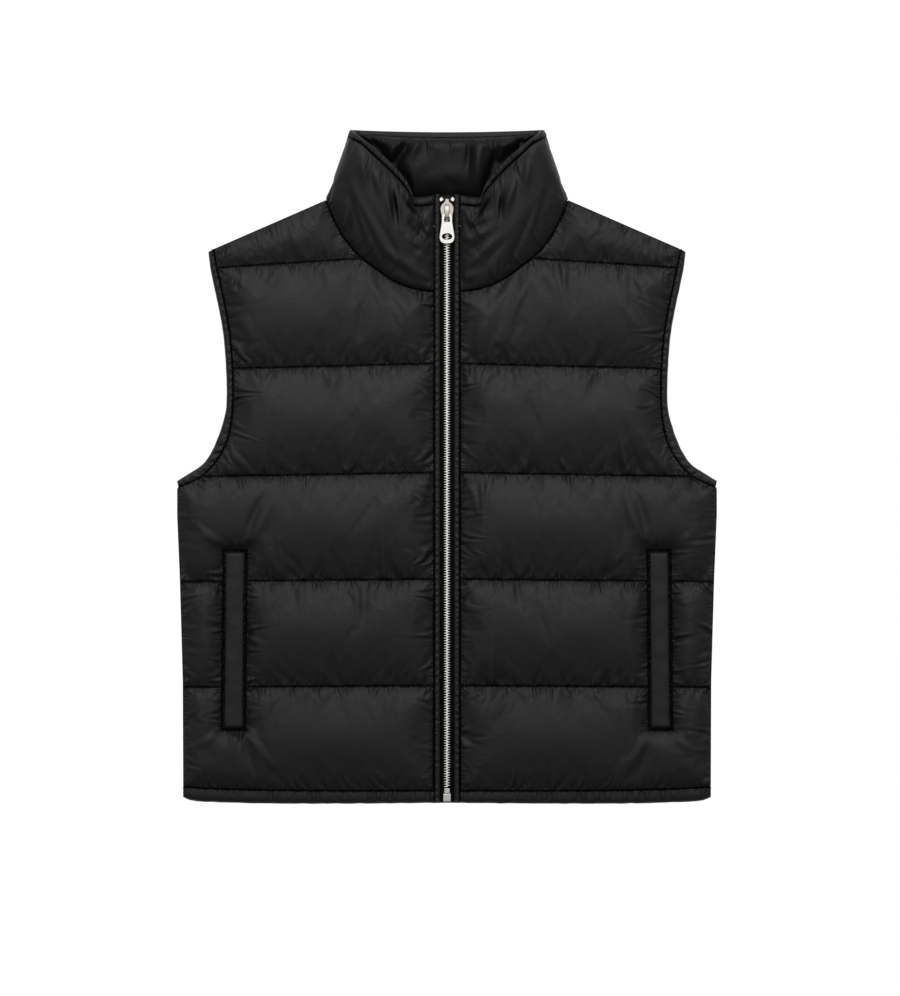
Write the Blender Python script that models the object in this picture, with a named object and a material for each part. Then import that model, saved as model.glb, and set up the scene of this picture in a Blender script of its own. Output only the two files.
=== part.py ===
"""Puffer vest with a stand-up collar, laid flat on its back with the zip closed.

All sizes are in millimetres in the plan of the laid-out garment. x runs across it, y runs from the hem
to the collar and z is the height above the surface that it lies on. The back rests on that surface with
its outer side down, the two fronts lie on the back, and solid() turns millimetres into metres.
"""
import math

import bmesh
import bpy
from mathutils import Vector
from mathutils.geometry import delaunay_2d_cdt

MM = 0.001
SEAM_GAP = 0.3
SHARP_ANGLE = 40.0
SHORTEST_LEG = 0.5

# Heights of the two padded layers.
BACK_INSIDE = 16.0
FRONT_INSIDE = BACK_INSIDE + SEAM_GAP
SEAM_THICK = 4.5
LINE_REACH = 50.0
EDGE_REACH = 38.0
POCKET_REACH = 26.0
BACK_PUFF = 16.0

# Plan of the body.
HEM_EDGE = -337.0
NECK_POINT = (121.0, 266.6)
SHOULDER_TIP = (238.6, 214.6)
BACK_NECK_MIDDLE = 240.0
TOP_ROW_RISE = 14.0
PANEL_STEP = 14.0
ROW_CLEARANCE = 4.2
ROW_SPOTS = (0.06, 0.17, 0.32, 0.5, 0.68, 0.83, 0.94)

# The body's half width down the side seam, and the hem's stitch line and edge across the half width.
SIDE_SEAM = (
    # y, x
    (-21.0, 270.0),
    (-49.0, 270.0),
    (-110.0, 267.4),
    (-214.0, 264.4),
    (-320.5, 264.0),
)
HEM = (
    # x, stitch_y, edge_y
    (13.0, -324.5, -336.4),
    (80.0, -324.6, HEM_EDGE),
    (180.0, -324.0, HEM_EDGE),
    (230.0, -322.6, -335.6),
    (256.0, -321.2, -333.8),
    (263.9, -320.6, -330.5),
)

# The armhole from the shoulder tip to the underarm: its bound edge and the stitching beside it.
ARMHOLE = (
    # edge_x, edge_y, stitch_x, stitch_y
    (*SHOULDER_TIP, 233.9, 217.4),
    (236.3, 196.0, 230.0, 197.5),
    (229.3, 163.0, 222.6, 163.5),
    (224.0, 134.0, 217.4, 133.5),
    (221.5, 106.0, 214.8, 106.0),
    (220.4, 80.0, 214.0, 80.0),
    (221.0, 58.0, 214.4, 59.0),
    (225.3, 40.0, 217.0, 37.0),
    (233.0, 19.5, 222.8, 19.0),
    (243.0, 3.5, 232.6, 3.2),
    (255.5, -5.5, 246.0, -10.5),
    (270.0, -14.5, 268.6, -20.4),
)

# Where the quilting lines meet the zip side and the outer side, and the padding's rise above each.
QUILTING = (
    # zip_y, outer_x, outer_y, puff above the line
    (212.5, 229.0, 198.5, 12.0),
    (102.5, 219.0, 97.5, 15.5),
    (-6.5, 239.0, -10.3, 15.5),
    (-113.0, 266.0, -115.5, 16.5),
    (-219.5, 264.0, -221.0, 16.0),
    (HEM_EDGE, 264.0, HEM_EDGE, 14.0),
)
PUFF_UNDER_NECK = 15.0

# Soft folds that stand proud of the fronts (x is given for the wearer's left, on the right in plan).
FRONT_FOLDS = (
    # x, y, angle in degrees, length, width, height
    (62.0, 150.0, 63.0, 62.0, 15.0, 2.2),
    (104.0, 172.0, 52.0, 70.0, 17.0, 2.4),
    (196.0, 150.0, -62.0, 60.0, 15.0, 1.8),
    (48.0, 62.0, 38.0, 52.0, 15.0, 1.6),
    (170.0, 45.0, 40.0, 74.0, 18.0, 1.8),
    (58.0, -44.0, 42.0, 55.0, 15.0, 1.6),
    (178.0, -62.0, -36.0, 56.0, 16.0, 2.0),
    (66.0, -150.0, 38.0, 50.0, 15.0, 1.5),
    (176.0, -246.0, 34.0, 46.0, 14.0, 1.8),
    (170.0, 222.0, 24.0, 64.0, 14.0, 1.4),
)

# Welt pockets, upright and leaning slightly outwards at the bottom.
POCKET_TOP = (212.0, -83.5)
POCKET_BOTTOM = (213.6, -264.0)
POCKET_HALF_WIDTH = 12.0
WELT_HALF_WIDTH = 9.2
WELT_INSET = 2.2
WELT_THICK = 3.2
POCKET_CLEARANCE = 4.0
FRAME_STEP = 21.0
ON_SEAM = 0.01

# A folded edge from its stitching to its rim.
FOLDED_EDGE = (
    # share of the width, share of the seam's thickness
    (0.0, 1.0),
    (0.3, 1.25),
    (0.7, 1.15),
    (1.0, 0.5),
)

# The stand-up collar. Reaches and fades are shares of its height, apart from the one beside the zip.
COLLAR_INSIDE_DROP = 2.2
COLLAR_DROP_REACH = 0.25
COLLAR_LIFT = 6.4
COLLAR_LIFT_REACH = 1.6
COLLAR_LIFT_AT_ZIP = 0.3
COLLAR_ZIP_REACH = 26.0
COLLAR_FOLD_FADE = 0.2
COLLAR_BAND = 0.9
NECK_SHIFT = 0.12
COLLAR_CORNER = (97.0, 336.8)
COLLAR_SEAM_THICK = 5.0
BACK_COLLAR_TOP = 334.6
FRONT_NECK = (
    # x, y
    (12.7, 174.9),
    (31.0, 177.5),
    (53.0, 185.5),
    (72.0, 198.5),
    (88.0, 210.5),
    (101.0, 225.5),
    (113.0, 245.5),
    NECK_POINT,
)
FRONT_COLLAR_TOP = (
    # x, y
    (12.7, 271.6),
    (25.0, 269.8),
    (33.5, 269.4),
    (36.0, 277.0),
    (40.0, 285.6),
    (48.0, 295.5),
    (63.0, 310.5),
    (85.0, 328.3),
    COLLAR_CORNER,
)
COLLAR_PADDING = (
    # share of the collar's height, thickness
    (0.0, COLLAR_SEAM_THICK),
    (0.05, 8.4),
    (0.15, 11.8),
    (0.35, 13.8),
    (0.6, 13.8),
    (0.78, 11.8),
    (0.865, 8.6),
    (COLLAR_BAND, 5.6),
    (0.935, 7.4),
    (0.98, 6.6),
    (1.0, 3.4),
)
FRONT_COLLAR_SPOTS = (0.0, 0.06, 0.13, 0.2, 0.235, 0.28, 0.36, 0.46, 0.57, 0.68, 0.79, 0.9, 1.0)
COLLAR_TURN_ANGLES = (30.0, 60.0, 90.0, 120.0, 150.0)
BACK_COLLAR_SPOTS = (1.0, 0.84, 0.68, 0.52, 0.36, 0.18)
COLLAR_FOLDS = (
    # x, y, angle in degrees, length, width, height
    (47.0, 262.0, 80.0, 22.0, 6.5, 3.0),
    (62.0, 244.0, 60.0, 44.0, 11.0, 1.8),
    (90.0, 268.0, 66.0, 52.0, 12.0, 1.8),
    (34.0, 222.0, 42.0, 34.0, 9.0, 1.6),
)
LINING_THICK = 1.2
LINING_SEAM_FADE = 0.5
LINING_BAND_FADE = 0.12
LINING_SPOTS = (0.14, 0.26, 0.38, 0.5, 0.62, 0.74, 0.84, 0.893)
LINING_FOLDS = (
    # x, y, angle in degrees, length, width, height
    (-42.0, 318.0, 62.0, 30.0, 7.0, 6.5),
    (36.0, 308.0, 104.0, 34.0, 8.0, 5.0),
    (56.0, 312.0, 88.0, 26.0, 7.0, 5.5),
    (4.0, 290.0, 20.0, 40.0, 16.0, 3.0),
)

# The zip: two tapes under two narrow plackets, a chain between them, and the slider at the top.
PLACKET_IN = 7.2
PLACKET_OUT = 12.7
PLACKET_BOTTOM_Z = 20.7
PLACKET_THICK = 3.0
PLACKET_TOP_Y = 272.4
PLACKET_HEM_INSET = 0.6
PLACKET_ROUND = (1.2, 1.0)
PLACKET_SEAM_ROUND = 1.6
ZIP_MIDDLE_Z = 20.0
TAPE_THICK = 0.8
TAPE_OUT = 12.5
TAPE_TURN = (1.8, 2.2)
BAR_CHAMFER = 0.6
CHAIN_HALF_WIDTH = 3.25
CHAIN_THICK = 2.8
CHAIN_TOP_Y = 262.2
CHAIN_BOTTOM_Y = -321.5
PIN_BOTTOM_Y = -326.8
PIN_HALF_WIDTH = 3.0
BOX_TOP_Y = -327.1
BOX_BOTTOM_Y = -334.9
BOX_HALF_WIDTH = 4.0
BOX_THICK = 4.2
STOP = (4.5, 6.9, 265.7, 268.6)
STOP_THICK = 2.6

SLIDER_PLATE = (
    # half_width, y
    (2.0, 267.4),
    (4.4, 265.0),
    (6.4, 260.6),
    (6.6, 257.2),
    (5.3, 252.6),
    (4.8, 247.6),
)
SLIDER_PLATE_THICK = 1.4
SLIDER_POST = (2.2, 262.6, 266.6)
BRIDGE_HALF_WIDTH = 2.3
BRIDGE_ENDS = (247.7, 262.4)
BRIDGE_WINDOW = (249.5, 260.2)
BRIDGE_CLEAR = 3.3
BRIDGE_TOP = 4.9
BRIDGE_HIGH_CORNER = 2.2
BRIDGE_LOW_CORNER = 1.6
JOINED_DEPTH = 0.4

PIVOT_Y = 251.3
TAB_THICK = 1.6
TAB_PIVOT_RISE = 1.8
TAB_OUTLINE = (
    # half_width, y
    (4.4, 252.5),
    (4.9, 251.6),
    (5.25, 244.5),
    (6.4, 236.5),
    (7.3, 230.5),
    (7.2, 228.2),
    (6.3, 225.6),
    (4.6, 223.9),
    (2.3, 223.2),
)
TAB_SLOT = (2.75, 244.5, 250.2)
TAB_HOLE = (5.2, 3.4, 230.0)
TAB_HOLE_SIDES = 20


# ---------------------------------------------------------------- curves and numbers

def between(start, end, share):
    """Number a share of the way from start to end."""
    return start + (end - start) * share


def along(table, x):
    """Smooth value at x through a table of (x, value) rows in rising x, level past its ends."""
    if x <= table[0][0]:
        return table[0][1]
    if x >= table[-1][0]:
        return table[-1][1]
    i = max(k for k in range(len(table) - 1) if table[k][0] <= x)
    (x0, y0), (x1, y1) = table[i], table[i + 1]
    chord = (y1 - y0) / (x1 - x0)

    def slope(k):
        if k <= 0 or k >= len(table) - 1:
            return chord
        before = (table[k][1] - table[k - 1][1]) / (table[k][0] - table[k - 1][0])
        after = (table[k + 1][1] - table[k][1]) / (table[k + 1][0] - table[k][0])
        if before * after <= 0.0:
            return 0.0
        return 2.0 * before * after / (before + after)

    step = x1 - x0
    t = (x - x0) / step
    rise0 = slope(i) * step
    rise1 = slope(i + 1) * step
    return (y0 * (1 + 2 * t) * (1 - t) ** 2 + rise0 * t * (1 - t) ** 2
            + y1 * t * t * (3 - 2 * t) - rise1 * t * t * (1 - t))


def smooth_path(points, steps):
    """Rounded path through the points, with a number of steps between each two of them."""
    padded = [points[0], *points, points[-1]]
    path = []
    for a, b, c, d in zip(padded, padded[1:], padded[2:], padded[3:]):
        for k in range(steps):
            t = k / steps
            path.append(tuple(
                0.5 * (2 * q + (r - p) * t + (2 * p - 5 * q + 4 * r - s) * t * t
                       + (3 * q - p - 3 * r + s) * t ** 3)
                for p, q, r, s in zip(a, b, c, d)))
    path.append(points[-1])
    return path


def spaced(points, step):
    """The same path with extra points on its straight stretches, so none is longer than step."""
    result = [points[0]]
    for a, b in zip(points, points[1:]):
        parts = max(1, math.ceil(math.dist(a, b) / step))
        for k in range(1, parts + 1):
            result.append((between(a[0], b[0], k / parts), between(a[1], b[1], k / parts)))
    return result


def shrunk(outline, amount):
    """The closed counter-clockwise outline moved inwards by amount."""
    result = []
    count = len(outline)
    for i, (x, y) in enumerate(outline):
        before = outline[i - 1]
        after = outline[(i + 1) % count]
        in1 = (-(y - before[1]), x - before[0])
        in2 = (-(after[1] - y), after[0] - x)
        len1 = math.hypot(*in1)
        len2 = math.hypot(*in2)
        nx = in1[0] / len1 + in2[0] / len2
        ny = in1[1] / len1 + in2[1] / len2
        reach = amount * 2.0 / max(nx * nx + ny * ny, 0.8)
        result.append((x + nx * reach, y + ny * reach))
    return result


def distance_to_path(x, y, path):
    """Distance in plan from a point to the nearest stretch of a path."""
    best = math.inf
    for (ax, ay), (bx, by) in zip(path, path[1:]):
        dx = bx - ax
        dy = by - ay
        share = ((x - ax) * dx + (y - ay) * dy) / max(dx * dx + dy * dy, 1e-9)
        share = min(max(share, 0.0), 1.0)
        best = min(best, math.hypot(x - ax - dx * share, y - ay - dy * share))
    return best


def inside(x, y, outline):
    """Whether a point in plan lies inside a closed outline."""
    odd = False
    for (ax, ay), (bx, by) in zip(outline, [*outline[1:], outline[0]]):
        if (ay > y) != (by > y) and x < ax + (bx - ax) * (y - ay) / (by - ay):
            odd = not odd
    return odd


def puff(distance, reach):
    """Quarter-ellipse rise of padding: 0 on a seam, 1 at reach and beyond."""
    left = 1.0 - min(max(distance, 0.0), reach) / reach
    return math.sqrt(1.0 - left * left)


def fold_height(x, y, folds):
    """Height that a table of soft folds adds at a point in plan."""
    total = 0.0
    for fold_x, fold_y, angle, length, width, height in folds:
        along_x = math.cos(math.radians(angle))
        along_y = math.sin(math.radians(angle))
        run = (x - fold_x) * along_x + (y - fold_y) * along_y
        off = (y - fold_y) * along_x - (x - fold_x) * along_y
        total += height * math.exp(-(2.0 * run / length) ** 2 - (off / width) ** 2)
    return total


def mirrored(points):
    """The points on the other side of the zip, in the opposite order."""
    return [(-p[0], *p[1:]) for p in reversed(points)]


# ---------------------------------------------------------------- solids and materials

def solid(name, mesh, material, pivot=(0.0, 0.0, 0.0)):
    """Object in metres from a bmesh in millimetres, with its origin on the pivot."""
    for vert in mesh.verts:
        vert.co = [(value - origin) * MM for value, origin in zip(vert.co, pivot)]
    bmesh.ops.recalc_face_normals(mesh, faces=mesh.faces)
    data = bpy.data.meshes.new(name)
    mesh.to_mesh(data)
    mesh.free()
    data.shade_smooth()
    data.set_sharp_from_angle(angle=math.radians(SHARP_ANGLE))
    data.materials.append(material)
    item = bpy.data.objects.new(name, data)
    item.location = [value * MM for value in pivot]
    bpy.context.scene.collection.objects.link(item)
    return item


def loft(name, sections, material):
    """Closed solid through a row of closed sections with equal numbers of (x, y, z) points."""
    mesh = bmesh.new()
    rings = [[mesh.verts.new(point) for point in section] for section in sections]
    for ring, following in zip(rings, rings[1:]):
        for i, vert in enumerate(ring):
            mesh.faces.new((ring[i - 1], vert, following[i], following[i - 1]))
    mesh.faces.new(rings[0])
    mesh.faces.new(rings[-1])
    return solid(name, mesh, material)


def plate(name, outline, low, high, material, holes=(), pivot=(0.0, 0.0, 0.0)):
    """Flat plate cut to a closed outline in plan, with holes right through it."""
    mesh = bmesh.new()
    edges = []
    for loop in (outline, *holes):
        verts = [mesh.verts.new((x, y, low)) for x, y in loop]
        edges += [mesh.edges.new((a, b)) for a, b in zip(verts, [*verts[1:], verts[0]])]
    bmesh.ops.triangle_fill(mesh, edges=edges, use_beauty=True)
    raised = bmesh.ops.extrude_face_region(mesh, geom=list(mesh.faces))
    for item in raised["geom"]:
        if isinstance(item, bmesh.types.BMVert):
            item.co.z = high
    return solid(name, mesh, material, pivot)


def triangles_within(outline, points, links):
    """Delaunay triangles between points, kept to the links and to the inside of a closed outline."""
    found, _, faces, origin, _, _ = delaunay_2d_cdt(points, links, [], 0, 1e-4, True)
    rim = [tuple(Vector(point)) for point in outline]
    kept = []
    for face in faces:
        middle = [sum(found[i][axis] for i in face) / len(face) for axis in (0, 1)]
        if inside(*middle, rim):
            kept.append(face)
    return found, kept, origin


def quilted_panel(name, outline, rows, loops, inner, outer, material):
    """Padded wall cut to a closed outline: flat inside, with its outer face at height outer(x, y).

    rows are open paths whose points lie on the outer face, and loops are closed ones.
    """
    edge = shrunk(outline, SEAM_GAP / 2)
    closed = [*edge, edge[0]]
    points = list(edge)
    for x, y in (point for row in rows for point in row):
        if inside(x, y, edge) and distance_to_path(x, y, closed) > ROW_CLEARANCE:
            points.append((x, y))
    ring = [(k, (k + 1) % len(edge)) for k in range(len(edge))]
    links = list(ring)
    for loop in loops:
        start = len(points)
        points += loop
        links += [(start + k, start + (k + 1) % len(loop)) for k in range(len(loop))]
    found, outer_faces, origin = triangles_within(edge, points, links)
    _, inner_faces, _ = triangles_within(edge, edge, ring)

    mesh = bmesh.new()
    outer_verts = [mesh.verts.new((x, y, outer(x, y))) for x, y in found]
    inner_verts = [mesh.verts.new((x, y, inner)) for x, y in edge]
    for face in outer_faces:
        mesh.faces.new([outer_verts[i] for i in face])
    for face in inner_faces:
        mesh.faces.new([inner_verts[i] for i in face])
    rim = {source: index for index, sources in enumerate(origin) for source in sources}
    for i, j in ring:
        mesh.faces.new((inner_verts[i], inner_verts[j], outer_verts[rim[j]], outer_verts[rim[i]]))
    return solid(name, mesh, material)


def finish(name, colour, roughness, metallic=0.0):
    """Plain material of one colour."""
    material = bpy.data.materials.new(name)
    material.use_nodes = True
    shader = material.node_tree.nodes["Principled BSDF"]
    shader.inputs["Base Color"].default_value = (*colour, 1.0)
    shader.inputs["Roughness"].default_value = roughness
    shader.inputs["Metallic"].default_value = metallic
    return material


# ---------------------------------------------------------------- lines that pieces share

def quilt_y(line, x):
    """Height in plan of a quilting line at x."""
    zip_y, outer_x, outer_y, _ = line
    return between(zip_y, outer_y, (abs(x) - PLACKET_OUT) / (outer_x - PLACKET_OUT))


def turn_centre(share):
    """x of the middle of the collar's rounded fold at a share of its height."""
    fold_x = between(NECK_POINT[0], COLLAR_CORNER[0], share)
    return fold_x - turn_radius(share) - along(COLLAR_PADDING, share)


def collar_front_inside(share, spot):
    """Height of the front collar's inner face, lifted off the back towards its top and its fold."""
    lift = COLLAR_LIFT * puff(share, COLLAR_LIFT_REACH)
    return FRONT_INSIDE + SEAM_GAP + lift * between(COLLAR_LIFT_AT_ZIP, 1.0, spot)


def collar_back_inside(share):
    """Height of the back collar's inner face."""
    return BACK_INSIDE - SEAM_GAP - COLLAR_INSIDE_DROP * puff(share, COLLAR_DROP_REACH)


def turn_radius(share):
    """Inner radius of the collar's fold."""
    return (collar_front_inside(share, 1.0) - collar_back_inside(share)) / 2


def back_neck_y(x):
    """Height in plan of the seam between the back and the collar."""
    return between(BACK_NECK_MIDDLE, NECK_POINT[1], (x / NECK_POINT[0]) ** 2)


def back_collar_top_y(x):
    """Height in plan of the back collar's top edge."""
    return between(BACK_COLLAR_TOP, COLLAR_CORNER[1], (x / COLLAR_CORNER[0]) ** 2)


def turn_xs(share, angles):
    """x of the collar's outer face at some angles round its fold."""
    radius = turn_radius(share) + along(COLLAR_PADDING, share)
    return [turn_centre(share) + radius * math.sin(math.radians(angle)) for angle in angles]


def front_neck_path():
    """Points of the seam between a front and the collar, from the zip to the shoulder."""
    xs = [between(PLACKET_OUT, turn_centre(0.0), spot) for spot in FRONT_COLLAR_SPOTS]
    xs += turn_xs(0.0, [angle for angle in COLLAR_TURN_ANGLES if angle <= 90.0])
    return [(x, along(FRONT_NECK, x)) for x in xs]


def back_neck_path():
    """Points of the seam between the back and the collar, from the shoulder to the middle."""
    xs = turn_xs(0.0, [angle for angle in COLLAR_TURN_ANGLES if angle >= 90.0])
    xs += [turn_centre(0.0) * spot for spot in BACK_COLLAR_SPOTS]
    return [(x, back_neck_y(x)) for x in [*xs, 0.0]]


def armhole_path():
    """Stations round the armhole: (edge_x, edge_y, stitch_x, stitch_y)."""
    return smooth_path(list(ARMHOLE), 2)


def outer_side():
    """Panel edge from the shoulder tip round the armhole and down the side seam to the hem."""
    stitched = [(row[2], row[3]) for row in armhole_path()]
    return [*stitched, *((x, y) for y, x in SIDE_SEAM)]


def hem_path():
    """Hem stitch line from the side seam to the zip side."""
    return [(x, stitch_y) for x, stitch_y, _ in reversed(HEM)]


def front_outline():
    """Closed outline of the front on the right in plan, counter-clockwise."""
    clockwise = [*front_neck_path(), *outer_side(), *hem_path()]
    clockwise = [p for i, p in enumerate(clockwise) if i == 0 or math.dist(p, clockwise[i - 1]) > SHORTEST_LEG]
    return spaced([*clockwise[::-1], clockwise[-1]], PANEL_STEP)[:-1]


def back_outline():
    """Closed outline of the back, counter-clockwise from the middle of the hem."""
    up_right = [(HEM[0][0], HEM[0][1]), *hem_path()[::-1], *outer_side()[::-1], *back_neck_path()]
    up_right = [p for i, p in enumerate(up_right) if i == 0 or math.dist(p, up_right[i - 1]) > SHORTEST_LEG]
    loop = [*up_right, *mirrored(up_right[:-1])]
    return spaced([*loop, loop[0]], PANEL_STEP)[:-1]


def pocket_frame():
    """Closed stitched frame of the pocket on the right in plan, counter-clockwise."""
    (top_x, top_y), (low_x, low_y) = POCKET_TOP, POCKET_BOTTOM
    corners = [
        (low_x - POCKET_HALF_WIDTH, low_y),
        (low_x + POCKET_HALF_WIDTH, low_y),
        (top_x + POCKET_HALF_WIDTH, top_y),
        (top_x - POCKET_HALF_WIDTH, top_y),
    ]
    return spaced([*corners, corners[0]], FRAME_STEP)[:-1]


def chamber_rows(x_start, x_end):
    """Rows of points along every quilting line and across every chamber between two lines."""
    top_of_back = (NECK_POINT[1] + TOP_ROW_RISE, SHOULDER_TIP[0], NECK_POINT[1], 0.0)
    lines = [top_of_back, *QUILTING]
    columns = math.ceil((x_end - x_start) / PANEL_STEP)
    rows = []
    for number, (upper, lower) in enumerate(zip(lines, lines[1:])):
        for share in (*ROW_SPOTS, 1.0):
            shift = 0.5 * (round(share * 100) % 2)
            row = []
            for k in range(columns + 1):
                x = between(x_start, x_end, (k + shift) / columns)
                row.append((x, between(quilt_y(upper, x), quilt_y(lower, x), share)))
            rows.append(row)
    return rows


# ---------------------------------------------------------------- the padded pieces

def chamber_rise(x, y, top_puff):
    """Padding between the two quilting lines next to a point, 0 on either line."""
    nearest = min(abs(y - quilt_y(line, x)) for line in QUILTING[:-1])
    puffs = [line[3] for line in QUILTING if y >= quilt_y(line, x)]
    height = puffs[0] if puffs else QUILTING[-1][3]
    if y < quilt_y(QUILTING[0], x) and y > quilt_y(QUILTING[1], x):
        height = top_puff
    return height * puff(nearest, LINE_REACH)


def make_front(name, side, cloth):
    """One padded front: six quilted chambers, pinched at its edges and round its pocket."""
    outline = front_outline()
    pocket = pocket_frame()
    border = [*outline, outline[0]]
    pocket_border = [*pocket, pocket[0]]

    def outer(x, y):
        x = abs(x)
        if inside(x, y, pocket):
            return FRONT_INSIDE + SEAM_THICK
        rise = chamber_rise(x, y, PUFF_UNDER_NECK) + fold_height(x, y, FRONT_FOLDS)
        rise *= puff(distance_to_path(x, y, border) - SEAM_GAP / 2, EDGE_REACH)
        rise *= puff(distance_to_path(x, y, pocket_border) - ON_SEAM, POCKET_REACH)
        return FRONT_INSIDE + SEAM_THICK + rise

    def clear_of_pocket(point):
        return distance_to_path(*point, pocket_border) > POCKET_CLEARANCE and not inside(*point, pocket)

    rows = [list(filter(clear_of_pocket, row)) for row in chamber_rows(PLACKET_OUT, SIDE_SEAM[0][1])]
    if side < 0:
        outline = mirrored(outline)
        pocket = mirrored(pocket)
        rows = [mirrored(row) for row in rows]
    quilted_panel(name, outline, rows, [pocket], FRONT_INSIDE, outer, cloth)


def make_back(cloth):
    """The padded back, resting on the crowns of its chambers."""
    outline = back_outline()
    border = [*outline, outline[0]]

    def outer(x, y):
        rise = BACK_PUFF * chamber_rise(x, y, PUFF_UNDER_NECK) / PUFF_UNDER_NECK
        rise *= puff(distance_to_path(x, y, border) - SEAM_GAP / 2, EDGE_REACH)
        return max(BACK_INSIDE - SEAM_THICK - rise, 0.0)

    width = SIDE_SEAM[0][1]
    quilted_panel("back", outline, chamber_rows(-width, width), [], BACK_INSIDE, outer, cloth)


def collar_point(spot, angle, share, offset):
    """Point of the collar, a distance outside its inner face.

    spot runs from the zip (0) to the fold (1) on the front, and from the fold (1) to the middle (0) on
    the back. angle turns from 0 on the front to 180 degrees on the back.
    """
    centre = turn_centre(share)
    outward = math.sin(math.radians(angle))
    upward = math.cos(math.radians(angle))
    if angle == 0.0:
        x = between(PLACKET_OUT, centre, spot)
        low = along(FRONT_NECK, between(PLACKET_OUT, turn_centre(0.0), spot))
        high = along(FRONT_COLLAR_TOP, between(PLACKET_OUT, turn_centre(1.0), spot))
        y = between(low, high, share)
        return (x, y, collar_front_inside(share, spot) + offset)
    if angle == 180.0:
        low = back_neck_y(turn_centre(0.0) * spot)
        high = back_collar_top_y(turn_centre(1.0) * spot)
        return (centre * spot, between(low, high, share), collar_back_inside(share) - offset)
    radius = turn_radius(share)
    middle_z = collar_back_inside(share) + radius
    low_x = turn_xs(0.0, [angle])[0]
    high_x = turn_xs(1.0, [angle])[0]
    if angle <= 90.0:
        y = between(along(FRONT_NECK, low_x), along(FRONT_COLLAR_TOP, high_x), share)
    else:
        y = between(back_neck_y(low_x), back_collar_top_y(high_x), share)
    return (centre + outward * (radius + offset), y, middle_z + upward * (radius + offset))


def collar_thickness(spot, angle, share):
    """Padding of the collar, pinched beside the zip and flat where the back rests."""
    thick = along(COLLAR_PADDING, share)
    if angle == 0.0:
        x, y, _ = collar_point(spot, angle, share, 0.0)
        fade = puff(share, COLLAR_FOLD_FADE) * puff(COLLAR_BAND - share, COLLAR_FOLD_FADE)
        thick += fold_height(x, y, COLLAR_FOLDS) * fade
        thick = between(COLLAR_SEAM_THICK, thick, puff(x - PLACKET_OUT, COLLAR_ZIP_REACH))
    return thick


def collar_section(spot, angle):
    """Closed section of the collar's wall: up its outer face and down its inner face."""
    shares = [share for share, _ in COLLAR_PADDING]
    outer = [collar_point(spot, angle, s, collar_thickness(spot, angle, s)) for s in shares]
    inner = [collar_point(spot, angle, s, 0.0) for s in reversed(shares)]
    section = [(x, y, max(z, 0.0)) for x, y, z in [*outer, *inner]]
    last = len(shares) - 1
    return [clear_of_seam(point, angle) if i in (0, 2 * last + 1) else point
            for i, point in enumerate(section)]


def clear_of_seam(point, angle):
    """A point of the neck seam, moved half the gap away from the body."""
    x, y, z = point
    if angle >= 90.0:
        return (x, y + SEAM_GAP, z)
    return (x - NECK_SHIFT, y + SEAM_GAP, z)


def make_collar(cloth):
    """One padded band from zip to zip, folded round at both sides of the neck."""
    stations = [(spot, 0.0) for spot in FRONT_COLLAR_SPOTS]
    stations += [(1.0, angle) for angle in COLLAR_TURN_ANGLES]
    stations += [(spot, 180.0) for spot in BACK_COLLAR_SPOTS]
    half = [collar_section(spot, angle) for spot, angle in stations]
    half[0] = [(x + SEAM_GAP / 2, y, z) for x, y, z in half[0]]
    other = [[(-x, y, z) for x, y, z in section] for section in reversed(half)]
    loft("collar", [*half, collar_section(0.0, 180.0), *other], cloth)


def make_collar_lining(lining):
    """Thin lining on the inside of the back collar, with its loose folds."""
    spots = [*(-spot for spot in BACK_COLLAR_SPOTS[1:]), 0.0, *BACK_COLLAR_SPOTS[:0:-1]]
    columns = []
    for start, end in zip(spots, spots[1:]):
        columns += [start, between(start, end, 1 / 3), between(start, end, 2 / 3)]
    columns.append(spots[-1])
    sections = []
    for spot in columns:
        under = []
        over = []
        for share in LINING_SPOTS:
            x, y, z = collar_point(abs(spot), 180.0, share, 0.0)
            x = math.copysign(x, spot)
            fade = puff(share - LINING_SPOTS[0], LINING_SEAM_FADE)
            fade *= puff(LINING_SPOTS[-1] - share, LINING_BAND_FADE)
            under.append((x, y, z + SEAM_GAP))
            over.append((x, y, z + SEAM_GAP + LINING_THICK + fold_height(x, y, LINING_FOLDS) * fade))
        sections.append([*under, *reversed(over)])
    loft("collar_lining", sections, lining)


def band_section(stitch, edge, inner_z, outward):
    """Rounded section of a folded edge from its stitching to its rim, over a flat inside."""
    width = math.dist(stitch, edge)
    start = SEAM_GAP / 2 / width
    rim = [(between(start, 1.0, share), SEAM_THICK * height) for share, height in FOLDED_EDGE]
    flat = [(1.0, 0.0), (start, 0.0)]
    return [(between(stitch[0], edge[0], share), between(stitch[1], edge[1], share),
             inner_z + outward * height) for share, height in [*rim, *flat]]


def make_armhole_bands(cloth):
    """Bound edges of both armholes, on the fronts and on the back."""
    for side, side_name in ((-1, "left"), (1, "right")):
        for layer, inner_z, outward in (("front", FRONT_INSIDE, 1.0), ("back", BACK_INSIDE, -1.0)):
            sections = []
            for edge_x, edge_y, stitch_x, stitch_y in armhole_path():
                stitch = (side * stitch_x, stitch_y)
                edge = (side * edge_x, edge_y)
                sections.append(band_section(stitch, edge, inner_z, outward))
            loft(f"armhole_{layer}_{side_name}", sections, cloth)


def make_hems(cloth):
    """Turned hems of both fronts and of the back."""
    for side, side_name in ((-1, "left"), (1, "right")):
        sections = [band_section((side * x, stitch), (side * x, edge), FRONT_INSIDE, 1.0)
                    for x, stitch, edge in HEM]
        loft(f"hem_front_{side_name}", sections, cloth)
    half = [band_section((x, stitch), (x, edge), BACK_INSIDE, -1.0) for x, stitch, edge in HEM]
    other = [[(-x, y, z) for x, y, z in section] for section in reversed(half)]
    loft("hem_back", [*other, *half], cloth)


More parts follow.
